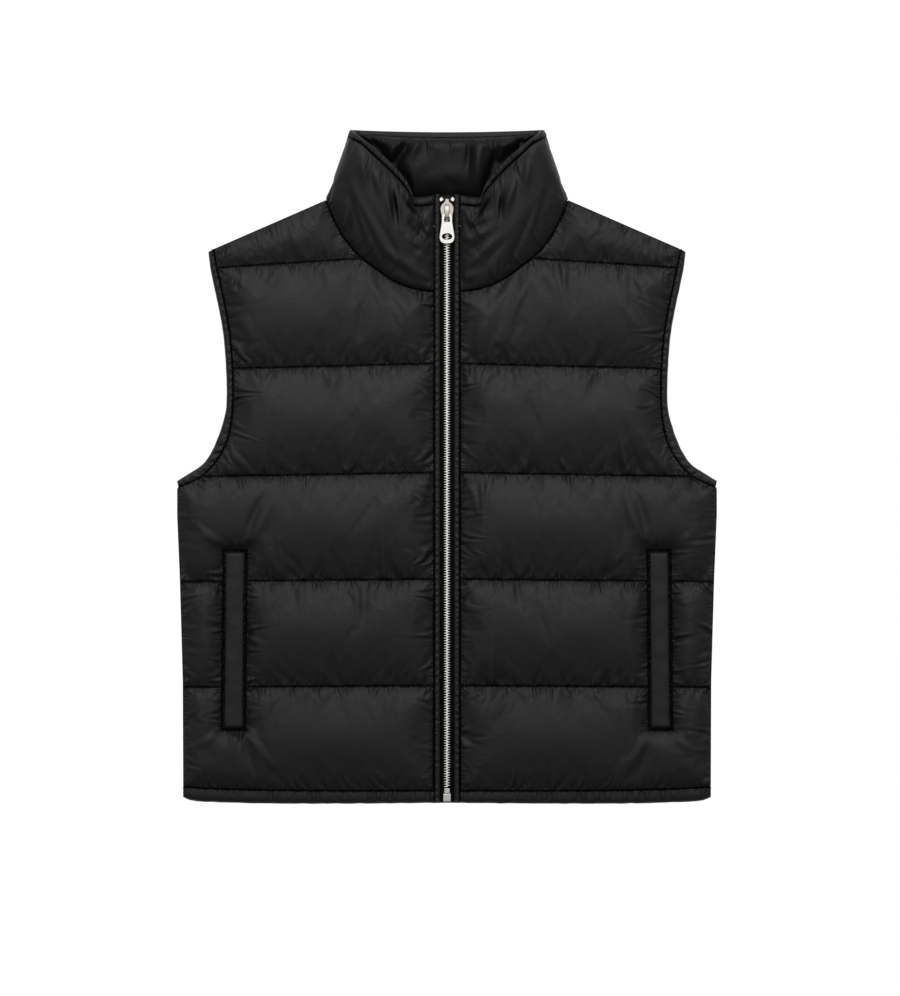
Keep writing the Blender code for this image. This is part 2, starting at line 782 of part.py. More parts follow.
def make_welts(cloth):
    """Raised welts of the two pockets, lying on the fronts inside their stitched frames."""
    low = FRONT_INSIDE + SEAM_THICK + SEAM_GAP
    profile = (
        # share of the half width, share of the thickness
        (-1.0, 0.0),
        (-1.0, 0.55),
        (-0.78, 1.0),
        (0.78, 1.0),
        (1.0, 0.55),
        (1.0, 0.0),
    )
    ends = (
        # distance from the end, share of the thickness
        (0.0, 0.6),
        (2.5, 1.0),
    )
    length = POCKET_TOP[1] - POCKET_BOTTOM[1]
    stations = [(WELT_INSET + distance, share) for distance, share in ends]
    stations += [(length - WELT_INSET - distance, share) for distance, share in reversed(ends)]
    for side, side_name in ((-1, "left"), (1, "right")):
        sections = []
        for distance, rise in stations:
            middle = between(POCKET_TOP[0], POCKET_BOTTOM[0], distance / length)
            sections.append([(side * (middle + across * WELT_HALF_WIDTH), POCKET_TOP[1] - distance,
                              low + up * rise * WELT_THICK) for across, up in profile])
        loft(f"pocket_welt_{side_name}", sections, cloth)


# ---------------------------------------------------------------- the zip

def make_plackets(cloth):
    """Narrow folded strips beside the zip, from the hem to the top of the collar."""
    seam_x = PLACKET_OUT - SEAM_GAP / 2
    top = PLACKET_BOTTOM_Z + PLACKET_THICK
    profile = (
        # x, z
        (PLACKET_IN, PLACKET_BOTTOM_Z),
        (PLACKET_IN, top - PLACKET_ROUND[1]),
        (PLACKET_IN + PLACKET_ROUND[0], top),
        (PLACKET_OUT - PLACKET_SEAM_ROUND, top),
        (seam_x, top - PLACKET_SEAM_ROUND),
        (seam_x, PLACKET_BOTTOM_Z),
    )
    for side, side_name in ((-1, "left"), (1, "right")):
        sections = [[(side * x, y, z) for x, z in profile] for y in (HEM_EDGE + PLACKET_HEM_INSET, PLACKET_TOP_Y)]
        loft(f"placket_{side_name}", sections, cloth)


def make_tapes(tape):
    """Woven zip tapes, whose top ends turn away round the stops."""
    low = ZIP_MIDDLE_Z - TAPE_THICK / 2
    high = ZIP_MIDDLE_Z + TAPE_THICK / 2
    beside_chain = CHAIN_HALF_WIDTH + SEAM_GAP
    beside_box = BOX_HALF_WIDTH + SEAM_GAP
    beside_stop = STOP[1] + SEAM_GAP
    stations = (
        # y, inner x
        (BOX_BOTTOM_Y, beside_box),
        (BOX_TOP_Y, beside_box),
        (CHAIN_BOTTOM_Y, beside_chain),
        (CHAIN_TOP_Y, beside_chain),
        (STOP[2] - SEAM_GAP, beside_stop),
        (STOP[3], beside_stop),
        (STOP[3] + TAPE_TURN[1], beside_stop + TAPE_TURN[0]),
    )
    for side, side_name in ((-1, "left"), (1, "right")):
        sections = [[(side * x_in, y, low), (side * TAPE_OUT, y, low), (side * TAPE_OUT, y, high),
                     (side * x_in, y, high)] for y, x_in in stations]
        loft(f"zip_tape_{side_name}", sections, tape)


def bar(name, half_width, low_y, high_y, thickness, metal):
    """Bar with chamfered long edges on the zip's middle line."""
    half = thickness / 2
    flat_x = half_width - BAR_CHAMFER
    flat_z = half - BAR_CHAMFER
    profile = (
        (-half_width, -flat_z),
        (-flat_x, -half),
        (flat_x, -half),
        (half_width, -flat_z),
        (half_width, flat_z),
        (flat_x, half),
        (-flat_x, half),
        (-half_width, flat_z),
    )
    loft(name, [[(x, y, ZIP_MIDDLE_Z + z) for x, z in profile] for y in (low_y, high_y)], metal)


def make_stops(metal):
    """Top stops clamped on the two tapes above the slider."""
    x_in, x_out, low_y, high_y = STOP
    for side, side_name in ((-1, "left"), (1, "right")):
        corners = [(side * x_in, low_y), (side * x_out, low_y), (side * x_out, high_y),
                   (side * x_in, high_y)]
        low = ZIP_MIDDLE_Z - STOP_THICK / 2
        plate(f"top_stop_{side_name}", corners, low, low + STOP_THICK, metal)


def make_slider(metal):
    """Slider: two plates joined by a post, with a bridge that holds the pull tab."""
    gap = SEAM_GAP
    outline = [(half, y) for half, y in SLIDER_PLATE] + [(-half, y) for half, y in SLIDER_PLATE[::-1]]
    upper_low = ZIP_MIDDLE_Z + CHAIN_THICK / 2 + gap
    lower_high = ZIP_MIDDLE_Z - CHAIN_THICK / 2 - gap
    upper_high = upper_low + SLIDER_PLATE_THICK
    lower_low = lower_high - SLIDER_PLATE_THICK
    slider = plate("slider", outline, upper_low, upper_high, metal)

    post_half, post_low_y, post_high_y = SLIDER_POST
    post = rectangle(-post_half, post_half, post_low_y, post_high_y)
    parts = [
        plate("slider_lower", outline, lower_low, lower_high, metal),
        plate("slider_post", post, lower_high - JOINED_DEPTH, upper_low + JOINED_DEPTH, metal),
        make_bridge(upper_high - JOINED_DEPTH, upper_high, metal),
    ]
    for part in parts:
        join = slider.modifiers.new(part.name, "BOOLEAN")
        join.operation = "UNION"
        join.object = part
        part.hide_render = True
        part.display_type = "WIRE"


def rectangle(x_low, x_high, y_low, y_high):
    """Counter-clockwise corners of a rectangle in plan."""
    return [(x_low, y_low), (x_high, y_low), (x_high, y_high), (x_low, y_high)]


def make_bridge(foot_z, plate_z, metal):
    """Arch of the slider, open from side to side for the tab's crossbar."""
    low_y, high_y = BRIDGE_ENDS
    window_low, window_high = BRIDGE_WINDOW
    under = plate_z + BRIDGE_CLEAR
    top = plate_z + BRIDGE_TOP
    arch = (
        (low_y, foot_z),
        (window_low, foot_z),
        (window_low, under),
        (window_high, under),
        (window_high, foot_z),
        (high_y, foot_z),
        (high_y, top - BRIDGE_HIGH_CORNER),
        (high_y - BRIDGE_HIGH_CORNER, top),
        (low_y + BRIDGE_LOW_CORNER, top),
        (low_y, top - BRIDGE_LOW_CORNER),
    )
    sections = [[(x, y, z) for y, z in arch] for x in (-BRIDGE_HALF_WIDTH, BRIDGE_HALF_WIDTH)]
    return loft("slider_bridge", sections, metal)


def make_pull_tab(metal):
    """Pull tab that swings on the bridge, slotted at its crossbar and pierced near its end."""
    pivot_z = ZIP_MIDDLE_Z + CHAIN_THICK / 2 + SEAM_GAP + SLIDER_PLATE_THICK + TAB_PIVOT_RISE
    outline = [(half, y) for half, y in TAB_OUTLINE] + [(-half, y) for half, y in TAB_OUTLINE[::-1]]
    slot_half, slot_low, slot_high = TAB_SLOT
    hole_x, hole_y, hole_middle = TAB_HOLE
    turns = [2 * math.pi * k / TAB_HOLE_SIDES for k in range(TAB_HOLE_SIDES)]
    hole = [(hole_x * math.cos(turn), hole_middle + hole_y * math.sin(turn)) for turn in turns]
    slot = rectangle(-slot_half, slot_half, slot_low, slot_high)
    plate("pull_tab", outline, pivot_z - TAB_THICK / 2, pivot_z + TAB_THICK / 2, metal,
          holes=(slot, hole), pivot=(0.0, PIVOT_Y, pivot_z))


def main():
    for item in list(bpy.data.objects):
        bpy.data.objects.remove(item)
    cloth = finish("shell cloth", (0.030, 0.028, 0.028), 0.45)
    lining = finish("lining cloth", (0.022, 0.021, 0.021), 0.35)
    tape = finish("tape cloth", (0.010, 0.010, 0.010), 0.8)
    nickel = finish("nickel", (0.78, 0.75, 0.71), 0.28, 1.0)

    make_front("front_left", -1, cloth)
    make_front("front_right", 1, cloth)
    make_back(cloth)
    make_collar(cloth)
    make_collar_lining(lining)
    make_armhole_bands(cloth)
    make_hems(cloth)
    make_welts(cloth)
    make_plackets(cloth)
    make_tapes(tape)
    bar("zip_chain", CHAIN_HALF_WIDTH, CHAIN_BOTTOM_Y, CHAIN_TOP_Y, CHAIN_THICK, nickel)
    bar("insertion_pin", PIN_HALF_WIDTH, PIN_BOTTOM_Y, CHAIN_BOTTOM_Y - SEAM_GAP, CHAIN_THICK, nickel)
    bar("retainer_box", BOX_HALF_WIDTH, BOX_BOTTOM_Y, BOX_TOP_Y, BOX_THICK, nickel)
    make_stops(nickel)
    make_slider(nickel)
    make_pull_tab(nickel)


main()
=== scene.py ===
# %% [markdown]
# # A quilted puffer vest, laid flat
#
# A puffer vest is two layers of thin, slippery nylon with soft padding between them. Rows of sewing pinch
# the layers together, and the padding swells between the rows, so every seam gathers the cloth into small
# puckers. This lesson dresses a plain solid model of such a vest: blown-up quilted panels, a folded
# stand-up collar, narrow bound edges, thousands of stitches and a metal zip.
#
# The solid model is loaded first and is never moved. Sizes below are in millimetres, in the plan of the
# vest as it lies: x across it, y from the hem to the collar and z up from the floor.

import math

import bmesh
import bpy
import numpy as np
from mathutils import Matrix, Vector
from mathutils.geometry import delaunay_2d_cdt


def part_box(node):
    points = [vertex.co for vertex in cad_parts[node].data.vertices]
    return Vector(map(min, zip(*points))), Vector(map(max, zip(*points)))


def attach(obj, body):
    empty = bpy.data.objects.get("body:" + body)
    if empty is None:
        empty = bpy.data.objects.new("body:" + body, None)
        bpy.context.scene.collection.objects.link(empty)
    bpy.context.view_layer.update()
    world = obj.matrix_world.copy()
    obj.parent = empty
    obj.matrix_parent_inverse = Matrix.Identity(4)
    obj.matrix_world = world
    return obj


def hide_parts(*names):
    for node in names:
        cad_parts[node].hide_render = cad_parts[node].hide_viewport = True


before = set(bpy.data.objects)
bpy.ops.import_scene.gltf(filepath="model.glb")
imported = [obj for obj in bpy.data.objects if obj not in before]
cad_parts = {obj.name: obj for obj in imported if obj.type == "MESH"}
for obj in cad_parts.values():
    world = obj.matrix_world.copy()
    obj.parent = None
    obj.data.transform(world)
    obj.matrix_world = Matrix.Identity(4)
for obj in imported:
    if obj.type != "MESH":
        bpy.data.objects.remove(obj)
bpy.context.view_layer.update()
MM = 0.001
VEST = "vest"
TAB = "tab"
SIDES = {"left": -1.0, "right": 1.0}

# %% [markdown]
# ## Numbers and curves
#
# Cloth shapes come from a few short tables, read smoothly between their rows. Numpy works on all the
# points of a panel at once, which keeps a panel of twenty thousand points quick.


# %% Smooth readings and distances
def between(start, end, share):
    """Number or point a share of the way from start to end."""
    return start + (end - start) * share


def smooth_leg(start, end, leave, arrive, t):
    """Place at a share t of a smooth leg with a given slope at its start and its end."""
    return (start * (1 + 2 * t) * (1 - t) ** 2 + leave * t * (1 - t) ** 2
            + end * t * t * (3 - 2 * t) - arrive * t * t * (1 - t))


def along(table, x):
    """Smooth values at x through rows of (x, value) in rising x, level past the table's ends."""
    xs, ys = np.array([row[:2] for row in table], float).T
    step = np.diff(xs)
    chord = np.diff(ys) / step
    product = chord[1:] * chord[:-1]
    total = np.where(product > 0.0, chord[1:] + chord[:-1], 1.0)
    slope = np.concatenate([chord[:1], np.where(product > 0.0, 2.0 * product / total, 0.0), chord[-1:]])
    x = np.clip(x, xs[0], xs[-1])
    i = np.clip(np.searchsorted(xs, x, side="right") - 1, 0, len(step) - 1)
    return smooth_leg(ys[i], ys[i + 1], slope[i] * step[i], slope[i + 1] * step[i], (x - xs[i]) / step[i])


def puff(distance, reach):
    """Quarter-ellipse rise of padding: 0 on a seam, 1 at reach and beyond."""
    left = 1.0 - np.clip(distance, 0.0, reach) / reach
    return np.sqrt(1.0 - left * left)


def quilted(distance, reach, power):
    """Rise of quilted padding beside sewing: the higher the power, the sooner it levels out."""
    return 1.0 - (1.0 - np.clip(distance, 0.0, reach) / reach) ** power


def closed(path):
    """The path with its first point again at its end."""
    return np.vstack([path, path[:1]])


def lengths_along(path):
    """Running length at each point of a path."""
    return np.concatenate([[0.0], np.cumsum(np.linalg.norm(np.diff(path, axis=0), axis=1))])


def points_at(path, runs, spots):
    """Points of a path at some running lengths, from the lengths at its own points."""
    return np.stack([np.interp(spots, runs, column) for column in path.T], axis=1)


def even(path, step):
    """The same path with its points a step apart."""
    path = np.asarray(path, float)
    run = lengths_along(path)
    return points_at(path, run, np.linspace(0.0, run[-1], max(2, round(run[-1] / step) + 1)))


def nearest(points, path):
    """Distance in plan from each point to a path, and the run along the path to its nearest spot."""
    best = np.full(len(points), np.inf)
    spot = np.zeros(len(points))
    run = 0.0
    for start, end in zip(path, path[1:]):
        leg = end - start
        size = np.linalg.norm(leg)
        share = np.clip((points - start) @ leg / max(leg @ leg, 1e-9), 0.0, 1.0)
        away = np.linalg.norm(points - start - share[:, None] * leg, axis=1)
        spot = np.where(away < best, run + share * size, spot)
        best = np.minimum(best, away)
        run += size
    return best, spot


def distance(points, path):
    """Distance in plan from each point to the nearest stretch of a path."""
    return nearest(points, path)[0]


def inside(points, outline):
    """Whether each point in plan lies inside a closed outline."""
    x, y = points.T
    odd = np.zeros(len(points), bool)
    for (ax, ay), (bx, by) in zip(outline, np.roll(outline, -1, axis=0)):
        if ay != by:
            odd ^= ((ay > y) != (by > y)) & (x < ax + (bx - ax) * (y - ay) / (by - ay))
    return odd


def uneven(values, wave, seed):
    """Smooth random numbers of about -1 to 1, with bumps about a wave apart in one or two directions."""
    rng = np.random.default_rng(seed)
    values = np.asarray(values, float)
    if values.ndim == 1:
        values = np.stack([values, np.zeros(len(values))], axis=1)
        turns = np.zeros(9)
    else:
        turns = rng.uniform(0.0, math.tau, 9)
    total = np.zeros(len(values))
    for turn in turns:
        heading = np.array([math.cos(turn), math.sin(turn)])
        length = wave * rng.uniform(0.7, 1.5)
        total += np.sin(values @ heading * math.tau / length + rng.uniform(0, math.tau))
    return total / 2.4


def from_line(x, y, line_x, line_y, angle):
    """How far points lie along a line through a spot, at an angle in degrees, and how far to its left."""
    along_x = math.cos(math.radians(angle))
    along_y = math.sin(math.radians(angle))
    return ((x - line_x) * along_x + (y - line_y) * along_y,
            (y - line_y) * along_x - (x - line_x) * along_y)


def fold_height(x, y, folds):
    """Height that a table of soft folds adds at points in plan."""
    total = np.zeros(np.shape(x))
    for *line, length, width, height in folds:
        run, off = from_line(x, y, *line)
        total += height * np.exp(-(2.0 * run / length) ** 2 - (off / width) ** 2)
    return total


def fold_steps(x, y, steps, edge=1.3):
    """Depth that a table of overhanging folds takes away on the left of each fold's line."""
    total = np.zeros(np.shape(x))
    for *line, length, reach, depth in steps:
        run, off = from_line(x, y, *line)
        off = np.maximum(off, 0.0)
        total -= depth * (1.0 - np.exp(-off / edge)) * np.exp(-off / reach - (2.0 * run / length) ** 4)
    return total


def gathers(away, run, seed, wave, reach, height, fan=0.0):
    """Puckers that stand across a line of sewing: they rise from it, fade with distance and lean about."""
    lean = fan + 0.3 * uneven(run, wave * 3.0, seed)
    gather = uneven(run + lean * away, wave, seed + 1)
    strength = np.clip(0.7 + 0.45 * uneven(run, wave * 4.0, seed + 2), 0.1, 1.3)
    near = away / (reach * np.clip(1.0 + 0.4 * uneven(run, wave * 2.3, seed + 3), 0.5, 1.5))
    return height * gather * strength * near * np.exp(1.0 - near)


# %% [markdown]
# ## Outlines from the solid model
#
# Each padded piece of the solid model has a plain flat inside, and the border of that flat face is the
# outline that the cloth was cut to. Reading it from the model keeps every new piece exactly where its
# solid is. A narrow band's border is split into two rails: the edge that is sewn on and the free edge.


# %% Borders, rails and boxes of the solid model
def flat_border(node, height):
    """Closed counter-clockwise border of a solid's flat face at a height, in millimetres."""
    mesh = bmesh.new()
    mesh.from_mesh(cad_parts[node].data)
    bmesh.ops.remove_doubles(mesh, verts=mesh.verts, dist=1e-6)
    level = [f for f in mesh.faces if all(abs(v.co.z / MM - height) < 0.01 for v in f.verts)]
    kept = set(level)
    rim = [e for f in level for e in f.edges if sum(g in kept for g in e.link_faces) == 1]
    following = {}
    for edge in rim:
        for vert in edge.verts:
            following.setdefault(vert, []).append(edge.other_vert(vert))
    start = rim[0].verts[0]
    loop = [start, following[start][0]]
    while len(loop) < len(following):
        first, second = following[loop[-1]]
        loop.append(second if first is loop[-2] else first)
    border = np.array([vert.co[:2] for vert in loop]) / MM
    mesh.free()
    x, y = border.T
    area = (x * np.roll(y, -1) - y * np.roll(x, -1)).sum()
    return border if area > 0 else border[::-1]


def rails(node, height):
    """The two long sides of a narrow flat face, point for point: the pairing with the shortest rungs."""
    border = flat_border(node, height)
    half = len(border) // 2
    best = None
    for turn in range(len(border)):
        turned = np.roll(border, turn, axis=0)
        one = turned[:half]
        other = turned[half:][::-1]
        rungs = np.linalg.norm(one - other, axis=1).sum()
        if best is None or rungs < best[0]:
            best = (rungs, one, other)
    return best[1], best[2]


def box_mm(node):
    """Lowest and highest corners of a solid, in millimetres."""
    low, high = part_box(node)
    return np.array(low) / MM, np.array(high) / MM


BACK_INSIDE = box_mm("back")[1][2]
FRONT_INSIDE = box_mm("front_right")[0][2]
SEAM_GAP = FRONT_INSIDE - BACK_INSIDE
SEAM_THICK = 4.5
FRONT_EDGE = {side: flat_border(f"front_{side}", FRONT_INSIDE) for side in SIDES}
BACK_EDGE = flat_border("back", BACK_INSIDE)
PLACKET_OUT = box_mm("placket_right")[1][0] + SEAM_GAP / 2
print(f"insides at z {BACK_INSIDE:.1f} and {FRONT_INSIDE:.1f}, plackets to x {PLACKET_OUT:.1f}")

# %% [markdown]
# ## Cloth and metal finishes
#
# The shell is black nylon taffeta: dark, smooth and slightly shiny, with a weave too fine to see from a
# step away and a faint random crinkle. The weave is two crossed bands of waves in the bump, and soft
# noise varies the colour and the gloss. The lining is satin, with a darker colour than the shell that is
# painted shade of the hollow inside the neck, the zip tape is matt and coarsely woven, and the thread is
# twisted.
#
# Sewn cloth also reads two notes on its mesh. The seam note holds how far a point lies along its sewing,
# how far it is from it, and its signed offset. From these the finish draws the dark line of the seam, which
# is partly the seam's own dark joint and partly painted shade of its groove, and the finest gathers, which
# would need millions of faces as real folds. The other note is painted crease shade: how far down a crease
# a point lies, where hardly any light gets in, and the finish paints it dark.
#
# The zip has three nickels, all with fine scratches: polished on the tab and the end pieces, brighter on
# the teeth, and duller and warmer on the cast slider.


# %% Node helpers
def filled(tree, node, inputs):
    """The node with its inputs set to values, or linked where the value is another node's output."""
    for label, value in inputs.items():
        if isinstance(value, bpy.types.NodeSocket):
            tree.links.new(value, node.inputs[label])
        else:
            node.inputs[label].default_value = value
    return node


def made(tree, kind, inputs, output=0, **settings):
    """Output of a new node of a kind, with its settings and its inputs filled in."""
    node = tree.nodes.new(kind)
    for label, value in settings.items():
        setattr(node, label, value)
    return filled(tree, node, inputs).outputs[output]


def reckoned(tree, operation, *values):
    """Result of a mathematical operation on sockets and numbers."""
    return made(tree, "ShaderNodeMath", dict(enumerate(values)), operation=operation)


def ranged(tree, value, start, end, low, high, way="SMOOTHSTEP"):
    """A value turned from start..end into low..high, smoothly or evenly."""
    inputs = {"Value": value, "From Min": start, "From Max": end, "To Min": low, "To Max": high}
    return made(tree, "ShaderNodeMapRange", inputs, interpolation_type=way)


def spread(tree, factor, low, high):
    """A noise's usual range of values turned evenly into numbers from low to high."""
    return ranged(tree, factor, 0.25, 0.75, low, high, "LINEAR")


def tint(tree, factor, low, high):
    """Colour from low to high by a factor. Low may be the output of another tint."""
    low = low if isinstance(low, bpy.types.NodeSocket) else (*low, 1.0)
    inputs = {"Factor": factor, "A": low, "B": (*high, 1.0)}
    return made(tree, "ShaderNodeMix", inputs, "Result", data_type="RGBA")


# %% Material helpers
def new_finish(name):
    """A material with its tree, its shader and its coordinates in millimetres."""
    material = bpy.data.materials.new(name)
    material.use_nodes = True
    tree = material.node_tree
    place = made(tree, "ShaderNodeTexCoord", {}, "Object")
    scaled = made(tree, "ShaderNodeVectorMath", {0: place, "Scale": 1 / MM}, operation="SCALE")
    return material, tree, tree.nodes["Principled BSDF"], scaled


def noise(tree, place, size, detail=3.0, stretch=(1.0, 1.0, 1.0)):
    """Noise whose lumps are about a size in millimetres, longer along the axes with a stretch over 1."""
    inputs = {"Vector": place, "Scale": [size * value for value in stretch]}
    place = made(tree, "ShaderNodeMapping", inputs, vector_type="TEXTURE")
    return made(tree, "ShaderNodeTexNoise", {"Vector": place, "Scale": 1.0, "Detail": detail}, "Fac")


def threads(tree, place, direction, spacing):
    """Even bands across one direction, a spacing in millimetres apart."""
    inputs = {"Vector": place, "Scale": math.tau / 20.0 / spacing, "Distortion": 0.4, "Detail Scale": 0.3}
    return made(tree, "ShaderNodeTexWave", inputs, "Fac", bands_direction=direction)


def relief(tree, shader, layers):
    """Bump from layers of (height, depth in millimetres), one after the other."""
    under = {}
    for height, depth in layers:
        bump = made(tree, "ShaderNodeBump", {"Distance": depth * MM, "Height": height, **under})
        under = {"Normal": bump}
    filled(tree, shader, under)


# %% The shell, lining, tape and thread
# Painted shade of seams and creases: how dark it makes the colour and the gloss. A seam's dark line is partly
# its own joint and partly painted shade of its groove.
DARK_SEAM_AND_SHADE_SHARE = 0.12
FAR = 99.0
LINE_MIDDLE = 0.5
LINE_HALF = 0.85
LINE_SOFT = 0.6
LINE_RAGGED = 0.8
LINE_LUMPS = 2.4
THIN_LINE = 0.85
FINE_WAVE = 2.9
FINE_REACH = 12.0
FINE_DEPTH = 0.65
ACROSS_SEAM = (1.0, 5.0, 1.0)
MOTTLE_LUMPS = 38.0
GLOSS_LUMPS = 5.0
CRINKLE_LUMPS = 7.0


def seam_effects(tree):
    """Darkness of seams, from their own joint and painted shade, and of painted crease shade, and the finest
    gathers.
    """
    seam = made(tree, "ShaderNodeAttribute", {}, "Vector", attribute_name="seam")
    painted_crease_shade = made(tree, "ShaderNodeAttribute", {}, "Fac", attribute_name="painted_crease_shade")
    run, away, offset = made(tree, "ShaderNodeSeparateXYZ", {0: seam}).node.outputs
    spot = made(tree, "ShaderNodeCombineXYZ", {"X": run, "Y": away})
    ragged = spread(tree, noise(tree, spot, LINE_LUMPS, 2.0, ACROSS_SEAM), -LINE_RAGGED, LINE_RAGGED)
    off_line = reckoned(tree, "ADD", reckoned(tree, "ADD", offset, -LINE_MIDDLE), ragged)
    off_line = reckoned(tree, "ABSOLUTE", off_line)
    dark = ranged(tree, off_line, LINE_HALF, LINE_HALF + LINE_SOFT, 1.0, 0.0)
    gather = spread(tree, noise(tree, spot, FINE_WAVE, 1.5, ACROSS_SEAM), -1.0, 1.0)
    fade = ranged(tree, away, 0.0, FINE_REACH, 1.0, 0.0)
    gather = reckoned(tree, "MULTIPLY", gather, reckoned(tree, "MULTIPLY", fade, fade))
    return reckoned(tree, "MAXIMUM", dark, painted_crease_shade), gather


def woven(name, dark, light, rough, gloss, thread_gap, weave_depth, crinkle_depth, sheen=0.0, sewn=False):
    """Cloth with crossed threads, an uneven colour and gloss, a soft crinkle and, if sewn, painted shade on
    seams and creases.
    """
    material, tree, shader, place = new_finish(name)
    colour = tint(tree, noise(tree, place, MOTTLE_LUMPS, 4.0), dark, light)
    uneven_gloss = spread(tree, noise(tree, place, GLOSS_LUMPS, 4.0), rough - 0.03, rough + 0.05)
    filled(tree, shader, {"Roughness": uneven_gloss, "Specular IOR Level": gloss,
                          "Sheen Weight": sheen, "Sheen Roughness": 0.4})
    layers = [(threads(tree, place, direction, thread_gap), weave_depth) for direction in "XY"]
    layers.append((noise(tree, place, CRINKLE_LUMPS, 3.0, (1.0, 0.6, 1.0)), crinkle_depth))
    if sewn:
        # Painted shade along seams, which are partly dark joints, and in the collar's creases: a darker
        # colour and a weaker gloss.
        seam_and_painted_shade, gather = seam_effects(tree)
        colour = tint(tree, seam_and_painted_shade, colour, [value * DARK_SEAM_AND_SHADE_SHARE for value in dark])
        gloss_in_seam_and_shade = ranged(tree, seam_and_painted_shade, 0.0, 1.0, gloss, gloss * DARK_SEAM_AND_SHADE_SHARE)
        filled(tree, shader, {"Specular IOR Level": gloss_in_seam_and_shade})
        layers.append((gather, FINE_DEPTH))
    filled(tree, shader, {"Base Color": colour})
    relief(tree, shader, layers)
    return material


SHELL = woven("shell nylon", (0.0066, 0.0058, 0.0057), (0.0084, 0.0073, 0.0072), rough=0.52, gloss=0.36,
              thread_gap=0.42, weave_depth=0.01, crinkle_depth=0.14, sheen=0.05, sewn=True)
# The lining's colour is darker than the shell's as painted shade of the hollow inside the neck.
LINING = woven("lining satin", (0.004, 0.0037, 0.0037), (0.0065, 0.006, 0.006), rough=0.42, gloss=0.2,
               thread_gap=0.3, weave_depth=0.005, crinkle_depth=0.12, sewn=True)
TAPE = woven("tape weave", (0.0025, 0.0024, 0.0023), (0.0055, 0.0052, 0.005), rough=0.75, gloss=0.08,
             thread_gap=0.75, weave_depth=0.12, crinkle_depth=0.05)
THREAD = woven("sewing thread", (0.006, 0.0058, 0.0057), (0.011, 0.0105, 0.0103), rough=0.6, gloss=0.15,
               thread_gap=0.3, weave_depth=0.04, crinkle_depth=0.02)


# %% The zip's nickel
def nickel_finish(name, dark, light, rough=0.3):
    """Warm nickel with fine scratches and a slightly uneven gloss."""
    material, tree, shader, place = new_finish(name)
    cloudy = noise(tree, place, 3.0, 4.0)
    scratch = noise(tree, place, 0.5, 2.0, (0.3, 9.0, 1.0))
    filled(tree, shader, {"Base Color": tint(tree, cloudy, dark, light), "Metallic": 1.0,
                          "Roughness": spread(tree, cloudy, rough - 0.05, rough + 0.07)})
    relief(tree, shader, [(scratch, 0.006), (cloudy, 0.01)])
    return material


NICKEL = nickel_finish("polished nickel", (0.70, 0.685, 0.655), (0.80, 0.79, 0.77))
TOOTH_NICKEL = nickel_finish("bright nickel", (0.86, 0.84, 0.80), (0.95, 0.94, 0.92))
CAST_NICKEL = nickel_finish("cast nickel", (0.44, 0.41, 0.37), (0.62, 0.585, 0.54), 0.38)
FINISHES = (SHELL, LINING, TAPE, THREAD, NICKEL, TOOTH_NICKEL, CAST_NICKEL)
print("finishes:", ", ".join(finish.name for finish in FINISHES))

# %% [markdown]
# ## Making pieces
#
# Every new piece is a mesh at the origin that rides on a body of the solid model and hides the solids it
# stands for. A row of equal sections makes the narrow pieces, as a tube or as a closed bar.


# %% Pieces from points
LEAST_CUT = 0.01


def placed(name, data):
    """Object of some data, put into the scene at the origin."""
    piece = bpy.data.objects.new(name, data)
    bpy.context.scene.collection.objects.link(piece)
    return piece


def piece_from(name, points, faces, material, open_sheet=False):
    """Smooth object at the origin, with its faces pointing outwards, from points in millimetres."""
    data = bpy.data.meshes.new(name)
    data.from_pydata((np.asarray(points, float) * MM).tolist(), [], [list(map(int, face)) for face in faces])
    data.materials.append(material)
    if not open_sheet:
        mesh = bmesh.new()
        mesh.from_mesh(data)
        bmesh.ops.recalc_face_normals(mesh, faces=mesh.faces)
        mesh.to_mesh(data)
        mesh.free()
    data.shade_smooth()
    return placed(name, data)


def seamed(piece, run, away, offset):
    """Note for the finish of each point: the run along its sewing, its distance and its signed offset, which
    place the seam's dark line and its painted shade.
    """
    attribute = piece.data.attributes.new("seam", "FLOAT_VECTOR", "POINT")
    values = np.stack(np.broadcast_arrays(run, away, offset), axis=-1)
    attribute.data.foreach_set("vector", values.astype(np.float32).ravel())


def tube_faces(rows, ring):
    """Quads of a closed tube with a number of rows of ring points each, and its two end faces."""
    faces = []
    for i in range(rows - 1):
        for j in range(ring):
            k = (j + 1) % ring
            faces.append((i * ring + j, i * ring + k, (i + 1) * ring + k, (i + 1) * ring + j))
    faces.append(range(ring))
    faces.append(range((rows - 1) * ring, rows * ring))
    return faces


def bar_piece(name, sections, material):
    """Closed bar through an array of sections (rows, ring points, 3)."""
    rows, ring, _ = sections.shape
    return piece_from(name, sections.reshape(-1, 3), tube_faces(rows, ring), material)


def cut_of(sections):
    """Flat width and length in metres of the cloth on one side of a bar: half its girth, and its run."""
    girth = np.linalg.norm(sections - np.roll(sections, -1, axis=1), axis=2).sum(1).mean()
    run = lengths_along(sections.mean(1))[-1]
    return max(girth / 2 * MM, LEAST_CUT), run * MM


def wear(piece, slot_name, *nodes, body=VEST):
    """The piece moves with a body and hides the solids it stands for; the slot name is not used."""
    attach(piece, body)
    if nodes:
        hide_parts(*nodes)


# %% [markdown]
# ## Quilting
#
# Five rows of sewing cross the body and make six chambers. Each row runs from the zip to the armhole or
# the side seam and drops a little outwards. The tables are the vest's sewing plan: where each row starts
# and ends, and how far the padding above it swells.

